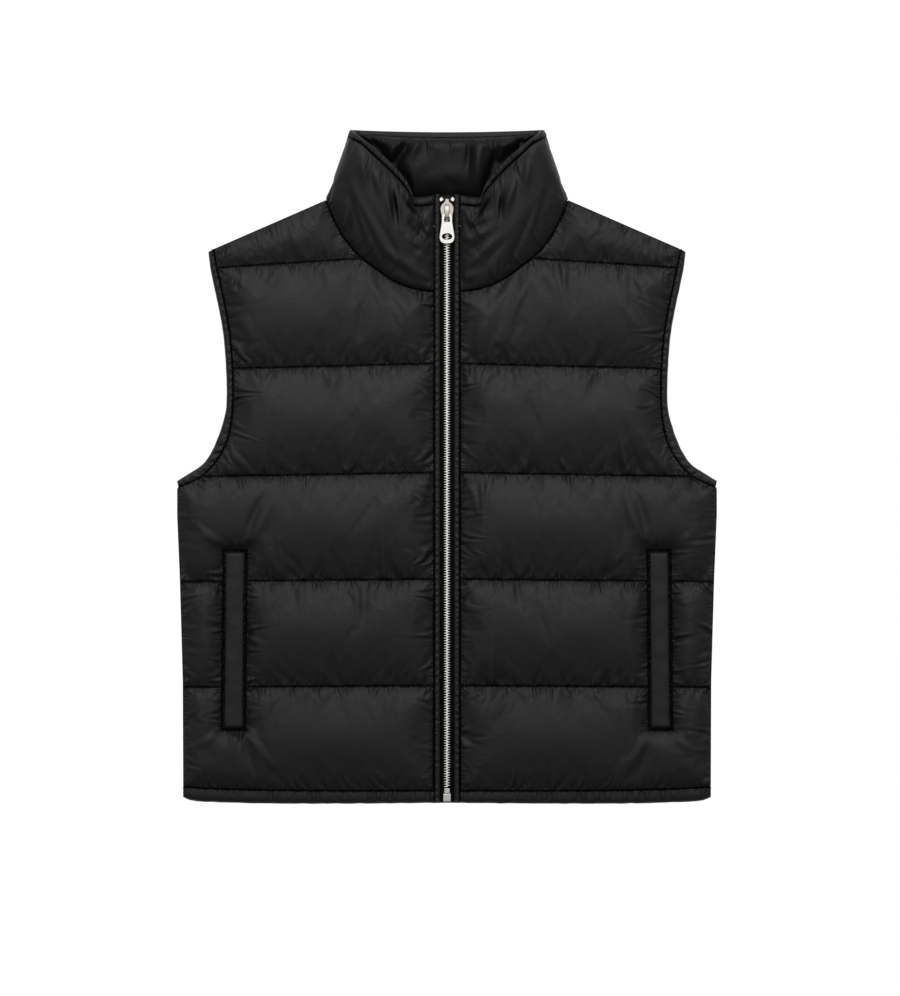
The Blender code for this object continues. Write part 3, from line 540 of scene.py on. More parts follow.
# %% The quilting plan
QUILTING = (
    # zip_y, outer_x, outer_y, puff above the row
    (212.5, 229.0, 198.5, 12.0),
    (102.5, 219.0, 97.5, 15.0),
    (-6.5, 239.0, -10.3, 15.5),
    (-113.0, 266.0, -115.5, 16.5),
    (-219.5, 264.0, -221.0, 16.0),
    (-337.0, 264.0, -337.0, 14.0),
)
ABOVE_ROW = (56.0, 3.0)
BELOW_ROW = (50.0, 4.6)
AT_EDGE = (36.0, 3.0)
AT_POCKET = (24.0, 3.0)
START_SHARE = 0.52
BODY_FOLDS = (
    # x, y, angle in degrees, length, width, height
    (-68.0, 172.0, -59.0, 48.0, 6.0, 1.3),
    (-39.0, 155.0, -58.0, 66.0, 6.5, 1.5),
    (-55.0, 150.0, -62.0, 50.0, 5.0, -0.9),
    (-110.0, 176.0, -66.0, 50.0, 9.0, 1.0),
    (-176.0, 186.0, 56.0, 34.0, 5.0, 1.0),
    (-205.0, 144.0, -55.0, 36.0, 5.0, 1.3),
    (-196.0, 150.0, -55.0, 40.0, 5.0, -0.8),
    (-118.0, 78.0, 62.0, 34.0, 7.0, 0.8),
    (-208.0, 6.0, -48.0, 34.0, 4.0, 1.5),
    (-60.0, 60.0, 40.0, 50.0, 10.0, 0.9),
    (-187.0, -58.0, 62.0, 46.0, 5.0, 2.0),
    (-195.0, -52.0, 62.0, 44.0, 4.5, -1.2),
    (-237.0, -71.0, -40.0, 34.0, 4.5, 1.5),
    (-58.0, -44.0, 42.0, 55.0, 11.0, 1.0),
    (-66.0, -158.0, 38.0, 50.0, 11.0, 0.9),
    (-237.0, -272.0, 30.0, 32.0, 4.0, 1.6),
    (-216.0, -281.0, 84.0, 28.0, 4.0, 1.1),
    (-190.0, -280.0, -49.0, 42.0, 4.5, 2.0),
    (-199.0, -285.0, -70.0, 34.0, 4.0, -1.0),
    (38.0, 144.0, 61.0, 62.0, 6.5, 1.5),
    (68.0, 161.0, 63.0, 46.0, 6.0, 1.3),
    (52.0, 140.0, 62.0, 44.0, 5.0, -0.9),
    (104.0, 168.0, 58.0, 50.0, 9.0, 1.1),
    (185.0, 149.0, -52.0, 52.0, 6.0, 1.5),
    (204.0, 161.0, -61.0, 42.0, 5.0, 1.3),
    (195.0, 152.0, -56.0, 40.0, 4.0, -0.9),
    (199.0, 61.0, -53.0, 36.0, 5.0, 1.2),
    (212.0, 4.0, -48.0, 30.0, 4.0, 1.3),
    (60.0, 62.0, -42.0, 46.0, 10.0, 0.9),
    (187.0, -53.0, -68.0, 44.0, 5.0, 2.0),
    (196.0, -50.0, -68.0, 40.0, 4.5, -1.2),
    (234.0, -77.0, 45.0, 30.0, 4.5, 1.4),
    (70.0, -150.0, -36.0, 50.0, 11.0, 0.9),
    (191.0, -285.0, 58.0, 44.0, 4.5, 2.0),
    (199.0, -288.0, 66.0, 34.0, 4.0, -1.0),
    (206.0, -280.0, 86.0, 28.0, 4.0, 1.0),
    (233.0, -275.0, -40.0, 30.0, 4.0, 1.5),
)
print("quilting:", len(QUILTING) - 1, "rows, and", len(BODY_FOLDS), "large folds placed by hand")


def row_y(row, x):
    """Where a quilting row lies in plan at x."""
    zip_y, outer_x, outer_y, _ = row
    return between(zip_y, outer_y, (np.abs(x) - PLACKET_OUT) / (outer_x - PLACKET_OUT))


def chamber_puff(x, y):
    """How far the padding swells in the chamber round each point."""
    swell = np.full(len(x), QUILTING[-1][3])
    for row in QUILTING[::-1]:
        swell = np.where(y >= row_y(row, x), row[3], swell)
    return swell


def row_distance(x, y):
    """Distance from each point to the nearest quilting row."""
    return np.min([np.abs(y - row_y(row, x)) for row in QUILTING[:-1]], axis=0)


def row_rise(x, y):
    """Share of its full rise that the padding has, quick below a row and slow above the next."""
    offsets = [y - row_y(row, x) for row in QUILTING[:-1]]
    over = np.min([np.where(off >= 0.0, off, FAR) for off in offsets], axis=0)
    under = np.min([np.where(off < 0.0, -off, FAR) for off in offsets], axis=0)
    return quilted(over, *ABOVE_ROW) * quilted(under, *BELOW_ROW)


# %% The frame round a pocket
POCKET_MARGIN = 2.8
POCKET_END_MARGIN = 2.2
POCKET_LEAN = 0.8


def pocket_frame(side):
    """Closed stitched frame round a pocket, a set margin outside its welt."""
    low, high = box_mm(f"pocket_welt_{side}")
    middle = (low[0] + high[0]) / 2
    half = (high[0] - low[0]) / 2 + POCKET_MARGIN - POCKET_LEAN
    top = high[1] + POCKET_END_MARGIN
    base = low[1] - POCKET_END_MARGIN
    lean = SIDES[side] * POCKET_LEAN
    return np.array([(middle + lean - half, base), (middle + lean + half, base),
                     (middle - lean + half, top), (middle - lean - half, top)])


# %% [markdown]
# ## A net of cloth
#
# Cloth folds in any direction only if its points lie in an even net of triangles, like a honeycomb. A
# Delaunay triangulation builds that net, and keeps chosen rows of points joined up: the cut edge, the
# quilting rows and the pocket's frame, which are the lines where needle and thread hold the cloth down.


# %% Even triangles between sewn lines
CLEAR_SHARE = 0.6
ROW_CLEAR_SHARE = 0.55
NEAR_POINTS = 1e-4
SMOOTHINGS = 2


def triangulated(points, links):
    """Points and triangles of a net that keeps some links between its points."""
    points = [Vector(point) for point in points]
    found, _, triangles, *_ = delaunay_2d_cdt(points, links, [], 0, NEAR_POINTS, True)
    return np.array([tuple(p) for p in found]), np.array(triangles)


def cloth_net(outline, loops, rows, step):
    """Points, triangles, links and counts of a net in plan. Its sewn points come first: rim, loops, rows."""
    rings = [even(closed(path), step)[:-1] for path in (outline, *loops)]
    border = closed(rings[0])
    rows = [even(row, step) for row in rows]
    points = []
    links = []
    start = 0
    for ring in rings:
        points.append(ring)
        links += [(start + k, start + (k + 1) % len(ring)) for k in range(len(ring))]
        start += len(ring)
    for row in rows:
        clear = inside(row, rings[0]) & (distance(row, border) > step * CLEAR_SHARE)
        for ring in rings[1:]:
            clear &= ~inside(row, ring) & (distance(row, closed(ring)) > step * CLEAR_SHARE)
        spots = np.flatnonzero(clear)
        links += [(start + i, start + i + 1) for i in range(len(spots) - 1) if spots[i + 1] == spots[i] + 1]
        points.append(row[spots])
        start += len(spots)
    sewn = start

    low, high = outline.min(0), outline.max(0)
    x, y = np.meshgrid(np.arange(low[0], high[0], step), np.arange(low[1], high[1], step * math.sqrt(0.75)))
    x = x + step / 2 * (np.arange(len(x)) % 2)[:, None]
    free = np.stack([x.ravel(), y.ravel()], axis=1)
    free = free[inside(free, rings[0]) & (row_distance(*free.T) > step * ROW_CLEAR_SHARE)]
    for ring in rings:
        free = free[distance(free, closed(ring)) > step * CLEAR_SHARE]
    points, triangles = triangulated(np.vstack([*points, free]), links)
    triangles = triangles[inside(points[triangles].mean(1), points[:len(rings[0])])]
    counts = {"rim": len(rings[0]), "rows": sum(map(len, rings)), "sewn": sewn}
    return points, triangles, np.array(links), counts


def finer(points, triangles, links, held):
    """The net with every edge halved, which points of it are held, and its free points smoothed."""
    edges = np.sort(triangles[:, [[0, 1], [1, 2], [2, 0]]], axis=2)
    edges, place = np.unique(edges.reshape(-1, 2), axis=0, return_inverse=True)
    ab, bc, ca = len(points) + place.reshape(-1, 3).T
    a, b, c = triangles.T
    corners = ((a, ab, ca), (ab, b, bc), (ca, bc, c), (ab, bc, ca))
    triangles = np.concatenate([np.stack(corner, axis=1) for corner in corners])
    linked = np.isin(edges @ (len(points), 1), np.sort(links, axis=1) @ (len(points), 1))
    held = np.concatenate([held, linked | held[edges].all(axis=1)])
    middles = {tuple(edge): len(points) + k for k, edge in enumerate(edges.tolist())}
    points = np.vstack([points, points[edges].mean(axis=1)])
    for _ in range(SMOOTHINGS):
        near = np.zeros_like(points)
        for start, end in ((0, 1), (1, 2), (2, 0)):
            for axis in range(3):
                for here, there in ((start, end), (end, start)):
                    values = points[triangles[:, there], axis]
                    near[:, axis] += np.bincount(triangles[:, here], values, len(points))
        count = 2.0 * np.bincount(triangles.ravel(), minlength=len(points))[:, None]
        points = np.where(held[:, None], points, between(points, near / count, 0.5))
    return points, triangles, held, middles


# %% [markdown]
# ## Air in the padding
#
# Blender's cloth simulation blows the chambers up. Points on sewn lines are pinned, a pressure pushes the
# cloth outwards like loft in the padding, and a little spare cloth near the seams, more here and less
# there, has to buckle into puckers. Starting from a chamber that is already rounded means that the
# simulation only has to find the folds, which takes a dozen frames. All the padded pieces are simulated
# together, because Blender works on them side by side.

# %% Cloth settings
FRAMES = 12
EASE = 0.004
SEAM_EASE = 0.05
SEAM_EASE_REACH = 10.0
SLACK_WAVE = 34.0
SLACK_MIDDLE = 0.7
SLACK_SWING = 0.5
PRESSURE = 2.5
CLOTH_SETTINGS = {
    "quality": 5,
    "mass": 0.02,
    "air_damping": 2.0,
    "tension_stiffness": 12.0,
    "compression_stiffness": 12.0,
    "shear_stiffness": 3.0,
    "bending_stiffness": 0.02,
    "bending_damping": 0.5,
    "vertex_group_mass": "sewn",
    "vertex_group_shrink": "slack",
    "shrink_min": -EASE,
    "shrink_max": -SEAM_EASE,
    "use_pressure": True,
    "use_pressure_volume": True,
    "target_volume": 0.0,
    "pressure_factor": 1.0,
}
padded_pieces = []


def let_swell(piece, held, slack, pressure):
    """Add a cloth simulation that holds some points and gives the others spare cloth."""
    pins = piece.vertex_groups.new(name="sewn")
    pins.add(np.flatnonzero(held).tolist(), 1.0, "REPLACE")
    loose = piece.vertex_groups.new(name="slack")
    for index, share in enumerate(np.clip(slack, 0.0, 1.0)):
        loose.add([index], float(share), "REPLACE")
    cloth = piece.modifiers.new("swell", "CLOTH")
    for label, value in CLOTH_SETTINGS.items():
        setattr(cloth.settings, label, value)
    cloth.settings.uniform_pressure_force = pressure
    cloth.settings.effector_weights.gravity = 0.0
    cloth.collision_settings.use_collision = False
    cloth.point_cache.frame_start = 1
    cloth.point_cache.frame_end = FRAMES
    padded_pieces.append(piece)


def points_of(data):
    """Points of a mesh in millimetres."""
    points = np.empty(len(data.vertices) * 3)
    data.vertices.foreach_get("co", points)
    return points.reshape(-1, 3) / MM


def swollen(piece):
    """Points of a piece as the simulation leaves them, in millimetres."""
    return points_of(piece.evaluated_get(bpy.context.evaluated_depsgraph_get()).to_mesh())


# %% [markdown]
# ## The body panels
#
# Two fronts and one back. The fronts meet the zip, and the back is one piece that lies underneath with
# its outer side down. Both start from the same rounded chambers, pinched along every edge. The back is
# made face up like the fronts and turned over afterwards.
#
# The simulation finds the large folds, and its net is too coarse for the small puckers that stand across
# every seam. A formula adds those to the finished net: waves of uneven length that rise beside the
# needle's holes, fade with distance and, along the armhole, fan out towards the middle of each chamber.


# %% Start shapes of the fronts and the back
ROW_GATHERS = (7.0, 3.2, 0.7)
WIDE_ROW_GATHERS = (22.0, 7.0, 0.85)
EDGE_GATHERS = (9.0, 4.2, 0.8)
POCKET_GATHERS = (8.0, 3.4, 0.95)
EDGE_FAN = 0.8
EDGE_FAN_REACH = 30.0
TOP_CHAMBER = 90.0
LOW_CHAMBER = 110.0
SEAM_APART = 1000.0
ABOVE_APART = 500.0
OTHER_SIDE = 997.0
OTHER_END = 991.0
UNDER_WELT = 0.5
ROW_WAVER = (22.0, 0.35)


def nearest_spot(points, path):
    """Distance from each point to a path, and the spot on the path that is nearest."""
    away, run = nearest(points, path)
    return away, points_at(path, lengths_along(path), run)


def chamber_share(x, y):
    """Where each point lies in its chamber: -1 on the row below it, 1 on the row above it."""
    rows = np.array([row_y(row, x) for row in QUILTING[:-1]])
    above = np.min(np.where(rows > y, rows, rows.max(0) + TOP_CHAMBER), axis=0)
    below = np.max(np.where(rows <= y, rows, rows.min(0) - LOW_CHAMBER), axis=0)
    return 2.0 * (y - below) / (above - below) - 1.0


def panel_gathers(points, border, loops, seed):
    """Height of the puckers beside every line of sewing on a panel."""
    x, y = points.T
    total = np.zeros(len(points))
    for number, row in enumerate(QUILTING[:-1]):
        off = y - row_y(row, x)
        run = x + np.where(off > 0.0, 0.0, OTHER_SIDE)
        total += gathers(np.abs(off), run, seed + 7 * number, *ROW_GATHERS)
        total += gathers(np.abs(off), run, seed + 7 * number + 37, *WIDE_ROW_GATHERS)
    away, spot = nearest_spot(points, border)
    fan = EDGE_FAN * chamber_share(x, y) * EDGE_FAN_REACH / np.maximum(away, EDGE_FAN_REACH)
    total += gathers(away, np.abs(spot[:, 0]) - spot[:, 1], seed + 61, *EDGE_GATHERS, fan)
    for loop in loops:
        total += gathers(*nearest(points, closed(loop)), seed + 71, *POCKET_GATHERS)
    return total


def panel_seams(points, border, loops):
    """Run, distance and signed offset of each point of a panel from its nearest line of sewing."""
    x, y = points.T
    away, run = nearest(points, border)
    offset = away + THIN_LINE
    for number, row in enumerate(QUILTING[:-1], 3):
        off = y - row_y(row, x)
        near = np.abs(off) < away
        away = np.where(near, np.abs(off), away)
        offset = np.where(near, off, offset)
        run = np.where(near, x + SEAM_APART * number + np.where(off > 0.0, ABOVE_APART, 0.0), run)
    for loop in loops:
        far, spot = nearest(points, closed(loop))
        within = inside(points, loop)
        near = (far < away) | within
        away = np.where(near, far, away)
        run = np.where(near, spot, run)
        # Inside a pocket's frame the dark line spreads over the strip beside the welt: the stitched frame's
        # own dark joint, and painted shade under the welt's edge.
        offset = np.where(within, LINE_MIDDLE - UNDER_WELT * far, np.where(near, far + THIN_LINE, offset))
    return run, away, offset


def panel_sheet(name, outline, loops, step, folds, seed):
    """Open sheet of one panel over its own inner plane, ready for the simulation."""
    low, high = outline.min(0), outline.max(0)
    reach = np.arange(low[0], high[0] + step, step)
    rows = [np.stack([reach, row_y(row, reach)], axis=1) for row in QUILTING[:-1]]
    points, triangles, links, counts = cloth_net(outline, loops, rows, step)
    rim, sewn = counts["rim"], counts["sewn"]
    x, y = points.T
    border = closed(outline)
    edge_distance = distance(points, border)
    seam_distance = np.minimum(edge_distance, row_distance(x, y))
    rise = START_SHARE * chamber_puff(x, y) * row_rise(x, y) + fold_height(x, y, folds)
    rise *= quilted(edge_distance, *AT_EDGE)
    held = np.arange(len(points)) < sewn
    for loop in loops:
        loop_distance = distance(points, closed(loop))
        within = inside(points, loop)
        rise *= np.where(within, 0.0, quilted(loop_distance, *AT_POCKET))
        held |= within
        seam_distance = np.minimum(seam_distance, loop_distance)
    height = SEAM_THICK + rise
    waver, waver_height = ROW_WAVER
    height[rim:sewn] += waver_height * uneven(points[rim:sewn], waver, seed + 50)
    slack = np.exp(-(seam_distance / SEAM_EASE_REACH) ** 2)
    slack *= SLACK_MIDDLE + SLACK_SWING * uneven(points, SLACK_WAVE, seed)
    sheet = piece_from(name, np.column_stack([points, height]), triangles, SHELL, open_sheet=True)
    let_swell(sheet, held, slack, PRESSURE)
    return {"piece": sheet, "triangles": triangles, "links": links, "held": held, "border": border,
            "loops": loops, "seed": seed, **counts}


FRONT_STEP = 3.0
BACK_STEP = 5.6
panels = {}
for seed, side in enumerate(SIDES, 5):
    panels[f"front_{side}"] = panel_sheet(f"quilted_front_{side}", FRONT_EDGE[side], [pocket_frame(side)],
                                          FRONT_STEP, BODY_FOLDS, seed)
panels["back"] = panel_sheet("quilted_back", BACK_EDGE, [], BACK_STEP, (), 11)
for name, panel in panels.items():
    print(name, len(panel["piece"].data.vertices), "points")

# %% [markdown]
# ## The collar
#
# The collar is one long padded band that stands round the neck. Laid flat, it folds round at both sides,
# so its back half lies on the floor and its two front ends lie over it. One formula gives any point of
# it: how far along the band, how far up it, and how far outside its inner face. It is closed as a tube
# of sections, and blown up together with the panels.
#
# A collar zipped to the top has its own lasting folds. Three tables place them, because where each
# one lies gives the collar its character: soft folds and hollows, steps where one fold hangs over the
# next, and the creases that sink between them, which the cloth's finish darkens with painted shade.

# %% The collar's plan and padding
NECK_POINT = (121.0, 266.6)
COLLAR_CORNER = (97.0, 336.8)
BACK_NECK_MIDDLE = 240.0
BACK_COLLAR_TOP = 334.6
COLLAR_LIFT = 6.4
COLLAR_DROP = 2.2
COLLAR_LIFT_REACH = 1.6
COLLAR_LEAST_LIFT = 0.3
COLLAR_DROP_REACH = 0.25
COLLAR_SEAM_THICK = 5.0
BAND_FROM = 0.884
BAND_SHARE = 0.9
FRONT_NECK = (
    # x, y
    (12.7, 174.9),
    (31.0, 177.5),
    (53.0, 185.5),
    (72.0, 198.5),
    (88.0, 210.5),
    (101.0, 225.5),
    (113.0, 245.5),
    NECK_POINT,
)
FRONT_COLLAR_TOP = (
    # x, y
    (12.7, 271.6),
    (25.0, 269.8),
    (33.5, 269.4),
    (36.0, 277.0),
    (40.0, 285.6),
    (48.0, 295.5),
    (63.0, 310.5),
    (85.0, 328.3),
    COLLAR_CORNER,
)
COLLAR_PADDING = (
    # share of the collar's height, thickness
    (0.0, COLLAR_SEAM_THICK),
    (0.05, 7.6),
    (0.15, 9.8),
    (0.35, 12.6),
    (0.6, 15.6),
    (0.73, 16.3),
    (0.8, 15.6),
    (0.85, 13.2),
    (BAND_FROM, 10.0),
    (BAND_SHARE, 7.4),
    (0.916, 8.6),
    (0.94, 8.9),
    (0.98, 7.4),
    (1.0, 3.8),
)
COLLAR_FOLDS = (
    # x, y, angle in degrees, length, width, height
    (-53.0, 260.0, -82.0, 27.0, 2.6, -5.0),
    (-57.5, 258.0, -80.0, 30.0, 2.6, 1.8),
    (-48.5, 256.0, -84.0, 28.0, 2.4, 1.8),
    (-79.0, 238.0, -66.0, 70.0, 2.4, -1.9),
    (-93.0, 256.0, -72.0, 76.0, 3.0, -2.0),
    (-86.0, 250.0, -70.0, 70.0, 6.0, 1.7),
    (-62.0, 232.0, -60.0, 60.0, 3.0, -1.7),
    (-70.0, 236.0, -64.0, 60.0, 6.0, 1.4),
    (-27.5, 260.0, -78.0, 16.0, 1.8, -2.2),
    (-24.0, 259.0, -80.0, 16.0, 2.0, 1.6),
    (-24.0, 244.0, -60.0, 22.0, 3.0, 2.4),
    (-20.0, 234.0, 60.0, 16.0, 2.6, 1.5),
    (-34.0, 222.0, -44.0, 38.0, 4.0, 1.9),
    (-30.0, 217.0, -40.0, 32.0, 3.0, -1.7),
    (-24.0, 210.0, -30.0, 24.0, 3.0, 1.6),
    (-46.0, 205.0, -38.0, 36.0, 4.0, 1.5),
    (-50.0, 199.0, -36.0, 34.0, 3.0, -1.5),
    (-22.0, 190.0, -30.0, 20.0, 3.0, 1.3),
    (-84.0, 297.0, -84.0, 26.0, 4.0, 2.0),
    (-76.0, 288.0, -80.0, 22.0, 2.6, -1.6),
    (-68.0, 282.0, -70.0, 24.0, 4.0, 1.8),
    (54.5, 262.5, 84.0, 22.0, 2.4, -4.6),
    (58.5, 262.0, 78.0, 24.0, 2.4, 1.8),
    (51.0, 258.0, 88.0, 24.0, 2.2, 1.6),
    (63.0, 268.0, 80.0, 24.0, 3.0, 1.6),
    (24.0, 256.0, -60.0, 18.0, 2.2, -1.8),
    (21.0, 252.0, -64.0, 18.0, 3.0, 1.8),
    (28.0, 239.0, 18.0, 30.0, 3.2, -1.8),
    (29.0, 232.0, 24.0, 34.0, 4.0, 2.4),
    (32.0, 222.0, 36.0, 38.0, 3.4, -2.0),
    (33.0, 214.0, 40.0, 40.0, 4.5, 1.9),
    (48.0, 214.0, 50.0, 50.0, 3.4, -1.6),
    (24.0, 204.0, 30.0, 22.0, 3.0, 1.4),
    (24.0, 190.0, 30.0, 20.0, 3.0, 1.3),
    (76.0, 232.0, 66.0, 70.0, 2.4, -2.0),
    (88.0, 250.0, 70.0, 70.0, 6.0, 1.7),
    (95.0, 262.0, 72.0, 66.0, 3.0, -1.8),
    (66.0, 238.0, 62.0, 60.0, 6.0, 1.4),
    (80.0, 292.0, 80.0, 30.0, 4.0, 2.0),
    (72.0, 284.0, 72.0, 24.0, 2.6, -1.6),
    (66.0, 276.0, 66.0, 24.0, 4.0, 1.8),
)
COLLAR_STEPS = (
    # x, y, angle in degrees, length, reach, depth
    (-35.0, 258.0, -49.0, 30.0, 7.0, 7.5),
    (-29.0, 233.5, -41.0, 32.0, 6.0, 5.5),
    (36.0, 253.0, 48.0, 46.0, 6.5, 7.5),
)
# Painted shade in the collar's creases: the cloth's finish darkens these lines.
COLLAR_CREASES = (
    # x, y, angle in degrees, length, half width, darkness
    (-36.5, 260.0, -50.0, 18.0, 3.0, 1.0),
    (-29.5, 251.0, -49.0, 14.0, 1.5, 0.7),
    (-51.5, 265.0, -79.0, 20.0, 1.7, 0.95),
    (-33.5, 239.0, -46.0, 20.0, 2.6, 0.6),
    (-30.0, 220.0, -40.0, 30.0, 2.2, 0.35),
    (-75.0, 222.0, -68.0, 56.0, 1.5, 0.4),
    (-95.0, 250.0, -72.0, 60.0, 1.8, 0.35),
    (38.0, 261.5, 58.0, 22.0, 3.0, 1.0),
    (30.0, 249.0, 48.0, 20.0, 1.5, 0.7),
    (53.8, 263.0, 84.0, 18.0, 1.5, 0.8),
    (29.0, 241.0, 20.0, 24.0, 2.2, 0.65),
    (31.0, 222.0, 36.0, 34.0, 2.4, 0.4),
    (76.0, 222.0, 64.0, 56.0, 1.5, 0.4),
    (95.0, 256.0, 72.0, 56.0, 1.8, 0.3),
)
print("collar:", len(COLLAR_FOLDS), "soft folds and", len(COLLAR_STEPS), "steps")


# %% The collar's surface
def front_inside_z(share, spot):
    """Height of the front ends' inner face, lifted off the back towards the top and the fold."""
    lift = COLLAR_LIFT * puff(share, COLLAR_LIFT_REACH) * between(COLLAR_LEAST_LIFT, 1.0, spot)
    return FRONT_INSIDE + SEAM_GAP + lift


def back_inside_z(share):
    """Height of the back half's inner face."""
    return BACK_INSIDE - SEAM_GAP - COLLAR_DROP * puff(share, COLLAR_DROP_REACH)


def turn_radius(share):
    """Inner radius of the fold at the side of the neck."""
    return (front_inside_z(share, 1.0) - back_inside_z(share)) / 2


def turn_centre(share):
    """x of the fold's middle at a share of the collar's height."""
    fold_x = between(NECK_POINT[0], COLLAR_CORNER[0], share)
    return fold_x - turn_radius(share) - along(COLLAR_PADDING, share)


def back_neck_y(x):
    """Seam between the back and the collar in plan."""
    return between(BACK_NECK_MIDDLE, NECK_POINT[1], (x / NECK_POINT[0]) ** 2)


def back_top_y(x):
    """Top edge of the collar's back half in plan."""
    return between(BACK_COLLAR_TOP, COLLAR_CORNER[1], (x / COLLAR_CORNER[0]) ** 2)


def collar_column(spot, angle, share, offset):
    """Points up the collar on one column, a distance outside its inner face."""
    centre = turn_centre(share)
    start = turn_centre(0.0)
    end = turn_centre(1.0)
    if angle == 0.0:
        x = between(PLACKET_OUT, centre, spot)
        low = along(FRONT_NECK, between(PLACKET_OUT, start, spot))
        high = along(FRONT_COLLAR_TOP, between(PLACKET_OUT, end, spot))
        return np.stack([x, between(low, high, share), front_inside_z(share, spot) + offset], axis=1)
    if angle == 180.0:
        y = between(back_neck_y(start * spot), back_top_y(end * spot), share)
        return np.stack([centre * spot, y, back_inside_z(share) - offset], axis=1)
    outward = math.sin(math.radians(angle))
    upward = math.cos(math.radians(angle))
    reach = turn_radius(share) + offset
    low_x = start + (turn_radius(0.0) + COLLAR_SEAM_THICK) * outward
    high_x = end + (turn_radius(1.0) + COLLAR_PADDING[-1][1]) * outward
    if angle <= 90.0:
        y = between(along(FRONT_NECK, low_x), along(FRONT_COLLAR_TOP, high_x), share)
    else:
        y = between(back_neck_y(low_x), back_top_y(high_x), share)
    z = back_inside_z(share) + turn_radius(share) + upward * reach
    return np.stack([centre + outward * reach, y, z], axis=1)


# %% The collar's start shape
BAND_ROW = 27
COLLAR_OUT = np.concatenate([np.linspace(0.0, BAND_FROM, BAND_ROW), [BAND_SHARE, 0.916, 0.94, 0.975, 1.0]])
COLLAR_IN = np.linspace(1.0, 0.0, 9)
COLLAR_RING = np.concatenate([COLLAR_OUT, COLLAR_IN])
FRONT_COLUMNS = np.linspace(0.0, 1.0, 66)
TURN_COLUMNS = np.linspace(0.0, 180.0, 21)[1:-1]
BACK_COLUMNS = np.linspace(1.0, 0.0, 34)
STATIONS = [(spot, 0.0) for spot in FRONT_COLUMNS]
STATIONS += [(1.0, angle) for angle in TURN_COLUMNS]
STATIONS += [(spot, 180.0) for spot in BACK_COLUMNS]
COLLAR_PRESSURE = 4.0
COLLAR_HEIGHT = 88.0
COLLAR_GATHERS = (9.0, 5.0, 1.0)
BAND_GATHERS = (6.0, 3.5, 1.2)
ZIP_END_REACH = 26.0
COLLAR_EASE_REACH = 15.0
COLLAR_SLACK_WAVE = 26.0
COLLAR_SLACK_MIDDLE = 0.75
FACING_UP = 0.99
FOLDS_LOW_FADE = 0.12
FOLDS_BAND_FADE = 0.05
SIDE_GAP_SHARE = 0.4
COLUMN_STEP = 2.0
MIRRORED = np.array([-1.0, 1.0, 1.0])


def both_halves(half, mirror=1.0):
    """Rows from the zip to the middle of the back, and from there round to the zip again."""
    return np.concatenate([half, half[-2::-1] * mirror])


def collar_section(spot, angle):
    """One closed section of the collar: up its outer face and down its inner one."""
    swell = along(COLLAR_PADDING, COLLAR_OUT)
    if angle == 0.0:
        x = collar_column(spot, angle, COLLAR_OUT, 0.0)[:, 0]
        swell = between(COLLAR_SEAM_THICK, swell, puff(x - PLACKET_OUT, ZIP_END_REACH))
    outer = collar_column(spot, angle, COLLAR_OUT, swell)
    inner = collar_column(spot, angle, COLLAR_IN, np.zeros(len(COLLAR_IN)))
    section = np.vstack([outer, inner])
    section[:, 2] = np.maximum(section[:, 2], 0.0)
    for seam_point in (0, -1):
        section[seam_point, 1] += SEAM_GAP
        section[seam_point, 0] -= SEAM_GAP * SIDE_GAP_SHARE if angle < 90.0 else 0.0
    return section


def crease_shade(x, y):
    """Painted shade of each point in a crease of the collar, from 0 in the open to 1 where no light gets in.
    """
    open_share = np.ones(np.shape(x))
    for *line, length, half_width, darkness in COLLAR_CREASES:
        run, off = from_line(x, y, *line)
        open_share *= 1.0 - darkness * np.exp(-(off / half_width) ** 2 - (2.0 * run / length) ** 4)
    return 1.0 - open_share


def collar_puckers(outer):
    """How the outer points move outwards: folds of the front ends, and puckers along all the sewing."""
    turn = np.radians([angle for _, angle in STATIONS])
    away = both_halves(np.column_stack([np.sin(turn), 0.0 * turn, np.cos(turn)]), MIRRORED)[:, None]
    middle = outer[:, outer.shape[1] // 2]
    run = np.broadcast_to(lengths_along(middle)[:, None], outer.shape[:2]).ravel()
    up = np.broadcast_to(COLLAR_OUT * COLLAR_HEIGHT, outer.shape[:2]).ravel()
    band = BAND_SHARE * COLLAR_HEIGHT
    lift = gathers(up, run, 301, *COLLAR_GATHERS)
    lift += gathers(np.abs(up - band), run + np.where(up > band, OTHER_SIDE, 0.0), 311, *BAND_GATHERS)
    lift += gathers(np.minimum(run, run.max() - run), up + np.where(run > run.max() / 2, OTHER_END, 0.0),
                    321, *COLLAR_GATHERS)
    front = away[:, :, 2] > FACING_UP
    share = up.reshape(outer.shape[:2]) / COLLAR_HEIGHT
    fade = puff(share, FOLDS_LOW_FADE) * puff(BAND_SHARE - share, FOLDS_BAND_FADE) * front
    x, y = outer[:, :, 0], outer[:, :, 1]
    folds = fold_height(x, y, COLLAR_FOLDS) + fold_steps(x, y, COLLAR_STEPS)
    total = lift.reshape(outer.shape[:2]) + folds * fade
    total[:, [0, BAND_ROW, -1]] = 0.0
    total[[0, -1]] = 0.0
    return away * total[:, :, None]


# %% The collar as a tube of sections
collar_half = np.array([collar_section(spot, angle) for spot, angle in STATIONS])
collar_half[0, :, 0] += SEAM_GAP / 2
collar_grid = both_halves(collar_half, MIRRORED)
columns, ring, _ = collar_grid.shape
collar = bar_piece("stand_collar", collar_grid, SHELL)
column, share_up = np.meshgrid(np.arange(columns), COLLAR_RING, indexing="ij")
ring_spot = np.broadcast_to(np.arange(ring), (columns, ring))
collar_held = (ring_spot >= len(COLLAR_OUT) - 1) | (ring_spot == 0) | (ring_spot == BAND_ROW)
collar_held |= (column == 0) | (column == columns - 1)
ends = np.minimum(column, columns - 1 - column) * COLUMN_STEP
seam_away = np.minimum(np.minimum(share_up, np.abs(share_up - BAND_SHARE)) * COLLAR_HEIGHT, ends)
grid_place = np.stack([column * COLUMN_STEP, share_up * COLLAR_HEIGHT], axis=-1).reshape(-1, 2)
collar_slack = np.exp(-(seam_away.ravel() / COLLAR_EASE_REACH) ** 2)
